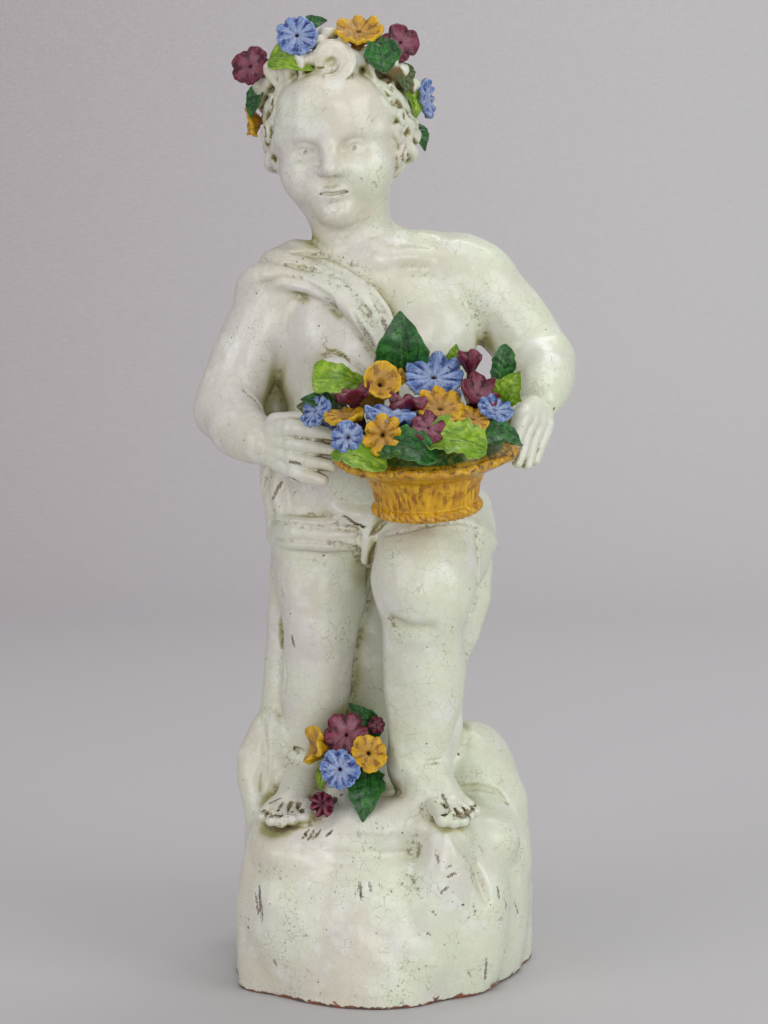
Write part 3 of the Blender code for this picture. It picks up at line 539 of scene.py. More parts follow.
def add_legs(clay):
    # The straight leg, on the viewer's left.
    clay.tube(
        (-48, 4, 372, 46), (-50, -4, 330, 40), (-52, -12, 284, 30), (-56, -8, 236, 28), (-60, -6, 186, 21),
        blend=9, steps=LIMB_STEPS,
    )
    clay.ball((-51, -22, 286), (22, 18, 22), blend=10)
    clay.ball((-60, 8, 236), (20, 22, 34), blend=12)
    clay.tube((-60, -2, 170, 21), (-69, -30, 157, 17), (-76, -48, 149, 14), blend=9, steps=LIMB_STEPS)
    add_toes(clay, Vector((-70, -30, 155)), Vector((-83, -79, 141)), 27, math.radians(-14))
    # The bent leg, on the viewer's right, with its foot on a higher stone.
    clay.tube((44, 2, 366, 48), (40, -38, 357, 47), (32, -72, 341, 40), blend=12, steps=LIMB_STEPS)
    clay.tube(
        (32, -74, 332, 37), (31, -66, 290, 32), (32, -56, 252, 33), (29, -52, 208, 26), (28, -50, 188, 25),
        blend=16, steps=LIMB_STEPS,
    )
    clay.ball((31, -85, 326), (27, 24, 34), blend=18)
    clay.tube((28, -48, 178, 25), (37, -64, 168, 21), (47, -78, 158, 17), blend=7, steps=LIMB_STEPS)
    add_toes(clay, Vector((40, -68, 164)), Vector((63, -106, 148)), 28, math.radians(32))
    # The soft creases over the ankles and beside the knees.
    clay.tube((8, -70, 194, 1.3), (26, -79, 189, 1.6), (48, -70, 190, 1.2), blend=3, cut=True)
    clay.tube((-78, -14, 192, 1.0), (-64, -29, 187, 1.4), (-42, -22, 191, 1.0), blend=3, cut=True)
    clay.tube((8, -98, 304, 1.4), (20, -106, 299, 1.8), (34, -107, 300, 1.4), blend=12, cut=True)
    clay.tube((-66, -42, 266, 1.6), (-52, -46, 262, 2.2), (-38, -42, 266, 1.6), blend=7, cut=True)


def add_trunk(clay):
    clay.ball((-4, 6, 372), (86, 54, 44), blend=10)
    clay.ball((-8, -6, 428), (80, 58, 62), blend=12)
    clay.ball((-6, 4, 500), (80, 52, 74), blend=14)
    clay.ball((-38, -12, 530), (44, 34, 44), blend=12)
    clay.ball((32, -12, 530), (44, 34, 44), blend=12)
    clay.tube((-4, 4, 588, 24), (40, 6, 586, 25), (76, 6, 572, 30), blend=12)
    clay.ball((-8, 6, 564), (80, 37, 34), blend=12)
    clay.tube((-18, 6, 582, 37), (-26, 2, 612, 33), (-32, -4, 642, 33), blend=12)
    # The collar bone and the edge of the breast, on the bare side.
    clay.tube((-6, -28, 589, 1.4), (26, -25, 590, 1.8), (58, -16, 589, 1.4), blend=18)
    clay.tube((10, -52, 500, 2.0), (38, -47, 494, 2.6), (62, -34, 504, 2.0), blend=14, cut=True)
    # Seat and shoulder blade, seen only from behind.
    clay.ball((-38, 32, 384), (44, 36, 42), blend=10)
    clay.ball((34, 32, 384), (44, 36, 42), blend=10)
    clay.ball((34, 26, 540), (38, 30, 42), blend=12)
    clay.tube((8, 55, 560, 3.0), (12, 52, 520, 3.6), (16, 56, 480, 3.0), blend=12, cut=True)


FINGER_RADIUS = 6.0


def add_finger(clay, wrist, knuckle, tip, thick):
    """One ray of the hand, from the wrist over the knuckle to the fingertip and its nail."""
    middle = knuckle.lerp(tip, 0.5) + (knuckle - wrist).normalized() * thick * 0.3
    clay.tube(
        (*wrist, thick * 1.6), (*knuckle, thick * 1.28), (*middle, thick), (*tip, thick * 0.84), blend=1.4
    )
    clay.ball(knuckle + Vector((0, -1.2, 0)), (thick * 1.3,) * 3, blend=2)


def add_arms(clay):
    # The arm on the viewer's left, its fingers round the brim.
    clay.tube(
        (-72, 6, 570, 32), (-99, 4, 532, 30), (-122, -2, 484, 27), (-126, -14, 466, 26),
        blend=10, steps=LIMB_STEPS,
    )
    clay.tube((-126, -14, 466, 26), (-114, -44, 451, 23), (-97, -70, 443, 18), blend=8, steps=LIMB_STEPS)
    for k in range(4):
        wrist = Vector((-94, -74, 449 - 4 * k))
        knuckle = Vector((-72 + 1.5 * k, -98, 455 - 11 * k))
        tip = Vector((-38 - (0, 0, 2, 9)[k], -112 - k, 451 - 11.5 * k))
        add_finger(clay, wrist, knuckle, tip, FINGER_RADIUS)
    clay.tube((-84, -78, 458, 9), (-62, -82, 460, 7.5), (-48, -92, 456, 6), blend=3)
    # The arm on the viewer's right, its fingers hooked under the brim.
    clay.tube(
        (62, 4, 572, 34), (98, 6, 543, 31), (122, 2, 512, 29), (126, -8, 502, 27),
        blend=10, steps=LIMB_STEPS,
    )
    clay.tube((126, -8, 502, 27), (130, -38, 490, 22), (123, -66, 477, 17), blend=9, steps=LIMB_STEPS)
    for k in range(4):
        wrist = Vector((123 - 2 * k, -70 - 2 * k, 472))
        knuckle = Vector((125 - 6 * k, -80 - 7 * k, 458 + 2 * k))
        tip = Vector((117 - 7 * k, -92 - 7 * k, 431 - (0, 3, 1, -4)[k]))
        add_finger(clay, wrist, knuckle, tip, FINGER_RADIUS)
    clay.tube((112, -74, 470, 9), (100, -82, 466, 7.5), (92, -90, 458, 6), blend=3)
    # Creases in the bend of the elbows and at the wrists.
    clay.tube((-112, -34, 482, 1.2), (-100, -34, 470, 1.8), (-92, -30, 458, 1.2), blend=4, cut=True)
    clay.tube((-110, -64, 460, 1.0), (-106, -74, 446, 1.4), (-102, -68, 432, 1.0), blend=3, cut=True)
    clay.tube((100, -30, 500, 1.2), (110, -36, 488, 1.6), (114, -34, 474, 1.2), blend=4, cut=True)


def add_head(clay):
    ball, tube = partial(clay.ball, place=HEAD), partial(clay.tube, place=HEAD)
    ball((0, 7, 8), (54, 61, 56), blend=10)
    ball((0, -16, -26), (43, 38, 40), blend=16)
    ball((0, -40, -55), (15, 14, 13), blend=10)
    # Brow and cheeks.
    tube((-36, -32, 6, 9), (-18, -44, 8, 9), (0, -47, 5, 8), (18, -44, 8, 9), (36, -32, 6, 9), blend=9)
    ball((0, -30, 26), (40, 28, 28), blend=12)
    for side in (-1, 1):
        ball((23 * side, -34, -25), (19, 18, 19), blend=11)
    # Eye sockets, eyeballs, lids and pupils.
    for side in (-1, 1):
        ball((19 * side, -53.5, -6.5), (11, 6, 6), blend=8, cut=True)
        ball((19 * side, -39.8, -7), (10.4, 9.2, 8.2), blend=2.5)
        tube(
            (8.5 * side, -46.8, -9.0, 1.0), (13.5 * side, -48.6, -3.6, 1.6), (20 * side, -48.6, -1.4, 1.8),
            (26 * side, -45.2, -3.6, 1.6), (31 * side, -40.0, -8.4, 1.0), blend=2.2,
        )
        tube(
            (9 * side, -46.8, -9.6, 0.9), (14.5 * side, -47.8, -12.6, 1.3), (21 * side, -47.0, -13.4, 1.4),
            (27 * side, -43.4, -12.0, 1.2), (31 * side, -40.0, -8.8, 0.9), blend=2.2,
        )
        ball((19.2 * side, -49.2, -7.0), (1.7, 2.0, 1.7), blend=0.8, cut=True)
    # Nose, nostrils and the groove under them.
    tube((0, -50, 0, 4.6), (0, -56, -10, 5.0), (0, -60.5, -20, 6.4), blend=7)
    for side in (-1, 1):
        ball((6.2 * side, -55.5, -22), (4.2, 4.8, 4.0), blend=3.5)
        ball((4.0 * side, -60, -27.4), (1.6, 2.4, 1.4), blend=1.2, cut=True)
    tube((0, -57, -29, 1.6), (0, -56.5, -34, 1.8), blend=3, cut=True)
    # Lips, the line between them and the hollows round the mouth.
    tube(
        (-13, -47.6, -39.4, 1.6), (-5, -52.8, -37.2, 2.6), (0, -53.2, -37.8, 2.3), (5, -52.8, -37.2, 2.6),
        (13, -47.6, -39.4, 1.6), blend=3.5,
    )
    tube((-9, -48.2, -42, 2.4), (0, -52.0, -43.0, 3.5), (9, -48.2, -42, 2.4), blend=3.5)
    tube(
        (-13.0, -48.4, -40.0, 0.8), (-7, -53.6, -39.9, 1.1), (0, -54.9, -40.5, 1.2), (7, -53.6, -39.9, 1.1),
        (13.0, -48.4, -40.0, 0.8),
        blend=0.9, cut=True,
    )
    ball((0, -58.5, -50), (9, 4, 3.0), blend=6, cut=True)
    # Ears: shell, rim and hollow.
    for side in (-1, 1):
        ball((54 * side, 8, -8), (6, 11, 16), turn=(0, 12 * side, 0), blend=3)
        tube(
            (55 * side, 0, -2, 2.2), (58 * side, 2, 8, 2.6), (60 * side, 12, 8, 2.8),
            (58.5 * side, 18, -4, 2.6), (55 * side, 11, -20, 3.4), blend=1.4,
        )
        ball((59 * side, 6, -7), (4, 5, 8), blend=2.5, cut=True)


HAIR_CENTRE = Vector((0, 8, 6))
HAIR_RADII = Vector((55, 62, 58))
# Small curls in front of the ears and over them: bearing, rise and size.
TEMPLE_CURLS = ((66, 28, 9.0), (88, 18, 10.0), (70, 4, 9.0), (92, -8, 10.0), (78, -24, 9.0))
# Thickness and lift of a tuft along its length, as shares of its greatest thickness.
TUFT_FORM = ((0.55, 0.0), (1.0, 0.2), (0.95, 0.25), (0.5, 0.0))
# Tufts at the side of the face: rise, and the bearing of the one nearest the face.
TEMPLE_ROWS = ((38, 45), (27, 47), (16, 50), (5, 53), (-6, 57), (-17, 62), (-28, 67), (-38, 72))
# Tufts swept back from the forehead, by bearing.
BROW_TUFTS = (-52, -45, -38, -31, -24, 44)
TUFT_THICKNESS = 4.2
LOCK_STRANDS = 3
# Rows of curls on the back of the head: rise, bearing of the first curl and number of curls.
BACK_ROWS = ((6, 104, 9), (-14, 108, 9), (-34, 100, 9), (-50, 118, 7), (28, 96, 9))
BACK_CURL = 11.5


def on_skull(bearing, rise, lift=0.0):
    """A place on the skull in the head's frame, bearing 0 in front, lifted off it."""
    out = facing(bearing, rise)
    at = Vector([c + r * o for c, r, o in zip(HAIR_CENTRE, HAIR_RADII, out)])
    return at + out * lift


def add_curl(clay, bearing, rise, size, spin, start):
    """A snail of hair, wound inwards and rising to its middle."""
    steps = 9
    stations = []
    for k in range(steps):
        t = k / (steps - 1)
        a = math.radians(start) + spin * t * math.radians(500)
        reach = size * (1 - 0.8 * t)
        across = math.degrees(reach * math.cos(a) / HAIR_RADII.z) / max(math.cos(math.radians(rise)), 0.3)
        up = math.degrees(reach * math.sin(a) / HAIR_RADII.z)
        stations.append((*on_skull(bearing + across, rise + up, 1.5 + 3.5 * t), size * (0.34 - 0.1 * t)))
    clay.tube(*stations, place=HEAD, steps=2, blend=1.6)


def add_lock(clay, *stations):
    """A lock of hair: strands that run side by side and come together at the tip."""
    line = [Vector(s) for s in stations]
    for strand in range(LOCK_STRANDS):
        offset = (strand - (LOCK_STRANDS - 1) / 2) * 2 / LOCK_STRANDS
        moved = []
        for k, station in enumerate(line):
            before, after = line[max(k - 1, 0)].to_3d(), line[min(k + 1, len(line) - 1)].to_3d()
            outward = (station.to_3d() - HAIR_CENTRE).normalized()
            side = (after - before).cross(outward).normalized()
            rise = outward * station[3] * (0.18 if strand % 2 else 0)
            moved.append((*(station.to_3d() + side * offset * station[3] * 0.95 + rise), station[3] * 0.56))
        clay.tube(*moved, place=HEAD, blend=1.1)


def lay_tufts(clay, tufts):
    """Short tufts of hair laid on the head; each has a thickness and four bearings with rises."""
    clay.lock()
    spots = [HEAD @ on_skull(bearing, rise, 30) for _, *line in tufts for bearing, rise in line]
    inwards = [(HEAD @ HAIR_CENTRE - spot).normalized() for spot in spots]
    found = iter(zip(trace(clay, spots, inwards).tolist(), inwards))
    for thick, *line in tufts:
        stations = []
        for share, lift in TUFT_FORM:
            place, inward = next(found)
            stations.append((*(Vector(place) - inward * lift * thick), share * thick))
        clay.tube(*stations, steps=3, blend=3.0)


def add_hair(clay):
    """A cap of hair, the forelock and its knot, locks over the temples, and curls behind."""
    ball = partial(clay.ball, place=HEAD)
    ball(HAIR_CENTRE + Vector((0, 5, 4)), (53, 57, 56), blend=9)
    # The forelock winds to the right over the band and comes back under itself.
    ball((9, -27, 58), (18, 15, 16), blend=6)
    add_lock(
        clay, (-3, -40, 58, 3), (-2, -39, 66, 5), (4, -35, 71, 6), (13, -34, 71, 6), (19, -37, 62, 6),
        (17, -42, 53, 5), (10, -45, 47, 5), (2, -46, 48, 4),
    )
    ball((6, -47, 60), (6, 9, 5), turn=(0, -24, 0), blend=2, cut=True)
    ball((1, -52, 51), (3, 4, 2.4), blend=1.5, cut=True)
    ball((2, -19, 80), (8, 8, 8), blend=3)
    ball((-4, -27, 74), (7, 6, 7), blend=2.5)
    ball((9, -18, 82), (5, 5, 5), blend=2)
    tufts = []
    for k, bearing in enumerate(BROW_TUFTS):
        rise = 46 - 0.004 * bearing * bearing + 3 * (k % 2)
        bend = 3 if k % 3 else -3
        swept = (bearing, rise), (1.05 * bearing + bend, rise + 6), (1.1 * bearing - bend, rise + 11)
        tufts.append((TUFT_THICKNESS, *swept, (1.2 * bearing, rise + 16)))
    for side in (-1, 1):
        for row, (rise, first) in enumerate(TEMPLE_ROWS):
            for k in range(4):
                bearing = first + 13 * k + 4 * (row % 2)
                bend = 5 if (row + k) % 2 else -4
                thick = TUFT_THICKNESS if k else 3.0
                falls = ((0, 5), (5, 2 + bend), (11, bend - 3), (15, -9))
                tufts.append((thick, *[(side * (bearing + a), rise + b) for a, b in falls]))
    lay_tufts(clay, tufts)
    for side in (-1, 1):
        for bearing, rise, size in TEMPLE_CURLS:
            spin = 1 if (bearing + rise) % 4 else -1
            add_curl(clay, side * bearing, rise, size, spin, 13 * bearing + 7 * rise)
    for row, (rise, first, count) in enumerate(BACK_ROWS):
        for k in range(count):
            bearing = first + 2 * (180 - first) * k / (count - 1)
            spin = 1 if (k + row) % 2 else -1
            add_curl(clay, bearing, rise + 4 * (k % 2), BACK_CURL, spin, 70 * k + 40 * row)
    for k in range(9):
        add_curl(clay, 40 * k + 20, 50 + 5 * (k % 2), BACK_CURL, 1 if k % 2 else -1, 80 * k)
    for k in range(4):
        add_curl(clay, 90 * k + 45, 74, 10.0, 1, 90 * k)


def add_wreath_roll(clay):
    turns = [wreath_point(10 * k) for k in range(37)]
    clay.tube(*[Vector((*p, BAND_RADIUS)) for p in turns], place=HEAD, steps=1, blend=3)


def add_drapery(clay):
    """The cloth: over the shoulder, across the chest, round the hips and down the back."""
    folds = (
        (
            (-112, 14, 545, 11), (-108, -4, 566, 12), (-92, -18, 574, 11),
            (-56, -37, 566, 8), (-30, -48, 550, 6),
        ),
        ((-92, 14, 578, 10), (-88, -4, 586, 10), (-62, -23, 580, 8), (-34, -39, 566, 7), (-12, -50, 548, 6)),
        ((-76, 22, 584, 9), (-70, 0, 593, 9), (-44, -20, 584, 7), (-20, -36, 568, 6), (-2, -48, 548, 5.5)),
    )
    for k, fold in enumerate(folds):
        clay.tube(*fold, (-12 + 8 * k, -50, 528 + 4 * k, 5), (8 + 5 * k, -51, 500 + 6 * k, 4.5), blend=6)
    # The turned-over fold beside the basket, flat and broad.
    clay.ball((-34, -50, 496), (20, 10, 11), turn=(0, 24, 0), blend=7)
    clay.ball((-48, -46, 478), (10, 9, 13), turn=(0, 14, 0), blend=9)
    # The flat hem round the straight leg, and the tighter hem over the bent one.
    hem = ((-90, 0), (-76, -32), (-50, -45), (-26, -44), (-8, -32))
    for level in (361, 368, 375):
        clay.tube(*[(x, y, level, 7) for x, y in hem], blend=2)
    clay.tube(
        (-8, -40, 366, 5), (10, -66, 378, 4), (38, -83, 381, 4), (66, -66, 376, 4.5), (84, -34, 360, 6),
        blend=7,
    )
    # The knot where the two ends cross, and its hanging tail.
    clay.ball((-20, -47, 384), (22, 10, 8), turn=(0, 12, 0), blend=8)
    clay.tube((-10, -50, 384, 7), (-11, -49, 366, 7), (-14, -45, 348, 5), blend=6)
    # Bunched cloth at the hip on the viewer's left, behind the forearm.
    clay.tube((-86, 8, 446, 10), (-90, 2, 412, 12), (-86, -2, 376, 9), blend=6)
    clay.tube((-80, -14, 430, 8), (-85, -18, 400, 8), (-80, -24, 380, 6), blend=6)
    # Folds that fall behind the legs to the mound.
    falls = (
        (-72, -82, -90, 14, 20),
        (-58, -70, -80, 32, 24),
        (-32, -34, -40, 38, 28),
        (0, -6, -8, 36, 30),
        (32, 28, 22, 40, 26),
        (56, 48, 44, 28, 22),
    )
    for top, middle, foot, back, radius in falls:
        clay.tube(
            (0.9 * top, back + 2, 420, radius * 0.8),
            (top, back + 4, 366, radius),
            (middle, back, 262, radius - 3),
            (foot, back, 140, radius),
            blend=6,
        )
    clay.tube((72, 18, 384, 16), (71, 22, 310, 18), (58, 28, 256, 12), blend=6)
    clay.tube((-98, 6, 206, 10), (-109, -4, 176, 13), (-103, -14, 150, 15), (-98, -26, 122, 13), blend=6)
    clay.ball((-90, -2, 160), (22, 24, 56), blend=9)
    clay.ball((-14, 26, 262), (52, 24, 100), blend=9)
    # The cloth that hangs behind the arm and closes the gap beside the waist.
    clay.ball((-90, 22, 464), (24, 14, 52), blend=9)
    # The cloth on the back, and its folds from the shoulder to the far hip.
    clay.ball((-34, 26, 526), (60, 34, 72), blend=8)
    clay.ball((-8, 28, 440), (80, 38, 76), blend=8)
    for k in range(4):
        clay.tube(
            (-78 + 12 * k, 34, 578 - 5 * k, 8),
            (-50 + 16 * k, 54, 516 - 8 * k, 8),
            (-14 + 17 * k, 60, 450 - 10 * k, 8),
            (18 + 15 * k, 56, 392 - 4 * k, 8),
            blend=5,
        )
    # Creases down the cloth behind.
    for x, y in ((-52, 62), (-18, 66), (14, 68), (44, 66)):
        clay.tube(
            (x, y - 2, 392, 1.0), (1.05 * x, y - 4, 320, 2.0), (1.15 * x, y - 3, 232, 2.2),
            (1.2 * x, y + 6, 176, 1.2), blend=8, cut=True,
        )


def add_posy_clump(clay):
    """The lump of clay between the feet that carries the lower flowers."""
    clay.tube(*[(*spot, radius) for spot, radius in zip(POSY_STEM, (22, 17, 11))], blend=12)
    clay.ball((-24, -46, 126), (42, 36, 28), blend=18)
    clay.tube((-28, -66, 132, 18), (4, -72, 138, 19), (26, -72, 142, 18), blend=16)


# Regions of the figure, each meshed by itself: name, lowest and highest level, size of a cell.
REGIONS = (
    ("putto_mound", -4, 152, 2.1),
    ("putto_legs", 152, 398, 1.82),
    ("putto_trunk", 398, 634, 1.68),
    ("putto_head", 634, 766, 1.15),
)
SIDE_REACH = 160.0
# Round this place less dirt, and less painted shade, is left in the hollows.
FACE_CENTRE = np.array(HEAD @ Vector((0, -50, -16)))
FACE_REACH = 22.0


def figure_clay():
    clay = Clay()
    body = (add_mound, add_legs, add_trunk, add_arms, add_head, add_wreath_roll, add_hair)
    for add in (*body, add_drapery, add_posy_clump):
        add(clay)
    clay.lock()
    return clay


# Strokes cut into the clay: half their width, and where they run in the photograph, in pixels.
STROKES = (
    (1.1, (259, 885), (262, 922)),
    (1.0, (255, 893), (258, 915)),
    (1.2, (359, 881), (362, 900)),
    (1.0, (369, 882), (371, 893)),
    (0.9, (355, 893), (354, 899)),
    (1.3, (380, 885), (381, 888)),
    (1.0, (410, 877), (413, 882)),
    (1.0, (303, 838), (308, 830)),
    (1.0, (308, 840), (314, 830)),
    (1.1, (314, 838), (320, 830)),
    (1.0, (326, 836), (334, 830)),
    (0.8, (268, 805), (281, 798)),
    (0.8, (497, 886), (500, 900)),
    (0.9, (486, 958), (485, 980)),
    (1.0, (282, 482), (277, 490), (271, 501)),
    (1.1, (442, 794), (447, 805), (450, 811)),
    (0.9, (407, 875), (415, 882)),
    (1.4, (343, 516), (354, 523), (366, 527)),
    (1.3, (328, 543), (342, 545), (358, 550)),
    (1.1, (376, 543), (372, 553), (370, 566)),
    (1.0, (292, 635), (294, 647)),
    (1.0, (487, 623), (479, 640)),
    (1.3, (363, 307), (369, 315)),
    (1.4, (360, 326), (368, 338), (374, 350)),
    (1.2, (373, 294), (378, 304)),
    (1.3, (382, 318), (386, 330)),
    (1.3, (289, 462), (301, 464)),
    (1.3, (288, 478), (300, 483)),
    (0.9, (436, 851), (438, 863)),
    (1.0, (447, 877), (460, 872)),
    (1.1, (440, 894), (448, 887)),
    (0.8, (430, 910), (436, 915)),
    (0.8, (425, 932), (430, 935)),
    (0.8, (467, 970), (471, 978)),
    (0.9, (505, 898), (508, 911)),
    (0.8, (514, 903), (518, 914)),
    (0.8, (412, 886), (419, 891)),
    (0.8, (353, 857), (354, 863)),
    (0.9, (446, 868), (452, 866)),
    (0.8, (480, 846), (483, 851)),
    (0.7, (473, 905), (475, 912)),
    (0.9, (274, 960), (276, 968)),
)

# Creases pressed in softly: how soft their edges are, half their width, and where they run.
CREASES = (
    (4.0, 1.5, (291, 252), (326, 256), (349, 266), (367, 280), (377, 301), (384, 313), (392, 322)),
    (3.0, 1.3, (284, 264), (322, 271), (340, 277), (354, 294), (364, 308), (369, 315)),
    (2.0, 1.3, (352, 312), (360, 326), (368, 338), (376, 352)),
    (6.0, 1.4, (262, 285), (282, 278), (306, 283), (328, 298), (340, 314)),
    (1.6, 1.2, (323, 345), (326, 352), (335, 352), (346, 358), (352, 364)),
    (2.0, 1.0, (328, 369), (345, 370), (357, 374)),
    (3.0, 1.4, (270, 522), (312, 527), (343, 527), (356, 529)),
    (3.0, 1.3, (268, 540), (300, 541), (330, 543), (358, 549)),
    (2.4, 1.6, (389, 518), (378, 527), (371, 536)),
    (2.6, 1.1, (386, 535), (410, 530), (436, 524), (460, 522), (472, 525), (480, 532)),
    (2.0, 1.2, (376, 543), (372, 553), (369, 570), (368, 590)),
    (3.0, 1.0, (476, 532), (479, 566), (477, 594), (471, 614)),
    (3.0, 1.2, (273, 560), (276, 592), (281, 616), (283, 642), (286, 677), (284, 700)),
    (5.0, 1.5, (267, 480), (262, 500), (264, 520)),
    (5.0, 1.6, (458, 788), (480, 787), (497, 791), (507, 802)),
    (9.0, 0.8, (455, 838), (474, 862), (486, 900)),
    (6.0, 1.3, (262, 720), (266, 760), (262, 790)),
)


STROKE_STEP = 5.0  # pixels between the places where a stroke is laid on the clay
STROKE_JUMP = 14.0  # a stroke stops where the clay falls back by more than this


def dense_line(line):
    """The pixels along a line of pixels, close enough together to lie on the clay."""
    found = []
    for (u, v), (next_u, next_v) in zip(line, line[1:]):
        steps = max(round(math.hypot(next_u - u, next_v - v) / STROKE_STEP), 1)
        found += [(u + (next_u - u) * k / steps, v + (next_v - v) * k / steps) for k in range(steps)]
    return [*found, line[-1]]


def unbroken(places):
    """The runs of places that follow each other without a jump."""
    runs = [[places[0]]]
    for place in places[1:]:
        if (place - runs[-1][-1]).length < STROKE_JUMP:
            runs[-1].append(place)
        else:
            runs.append([place])
    return [run for run in runs if len(run) > 1]


def cut_strokes(clay):
    """Cuts strokes and creases where the camera sees them; returns the strokes alone."""
    rows = [(*row, 0.8, True) for row in STROKES] + [(*row, soft, False) for soft, *row in CREASES]
    lines = [dense_line(line) for _, *line, _, _ in rows]
    pixels = [spot for line in lines for spot in line]
    found = trace(clay, [EYE] * len(pixels), [sight(u, v) for u, v in pixels])
    places = iter([Vector(p) for p in found.tolist()])
    ink = Clay()
    for (radius, *_, soft, inked), line in zip(rows, lines):
        for run in unbroken([next(places) for _ in line]):
            last = len(run) - 1
            stations = [(*p, radius * (1 if 0 < k < last else 0.55)) for k, p in enumerate(run)]
            clay.tube(*stations, blend=soft, cut=True, steps=1)
            if inked:
                ink.tube(*stations, blend=0.1, steps=1)
    clay.lock()
    ink.lock()
    return ink


def wreath_band():
    band = Clay()
    add_wreath_roll(band)
    band.lock()
    return band


def unpainted(points):
    """Keeps the brown of the band off the front and the left of the head."""
    local = placed(points, HEAD.inverted())
    return 4 * np.clip((34 - local[:, 0]) / 6, 0, 1) * np.clip((6 - local[:, 1]) / 6, 0, 1)


def make_figure(material):
    clay = figure_clay()
    ink = cut_strokes(clay)
    band = wreath_band()
    for name, bottom, top, cell in REGIONS:
        cell *= 1
        low = np.array((-SIDE_REACH, -SIDE_REACH, bottom - cell))
        high = np.array((SIDE_REACH, SIDE_REACH, top + cell))
        points, faces = net_through(grid_of(clay, low, high, cell), low, cell)
        points, normals, hollows = settle(clay, points, 0.6 * cell)
        values = {
            "hollow_near": hollows[:, 0],
            "hollow_mid": hollows[:, 1],
            "hollow_wide": hollows[:, 2],
            "ink": nearness(ink, points),
            "band": nearness(band, points) + unpainted(points),
            "face": np.clip(2 - np.linalg.norm(points - FACE_CENTRE, axis=1) / FACE_REACH, 0, 1),
        }
        piece = make_mesh(name, points, faces, values, normals)
        finish_piece(piece, material, "putto_figure")


def finish_piece(piece, material, node):
    piece.data.materials.append(material)
    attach(piece, BODY)
    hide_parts(node)


# Basket

BASKET_TURNS = 288
FLUTES = 46
ROPE_TURNS = 34


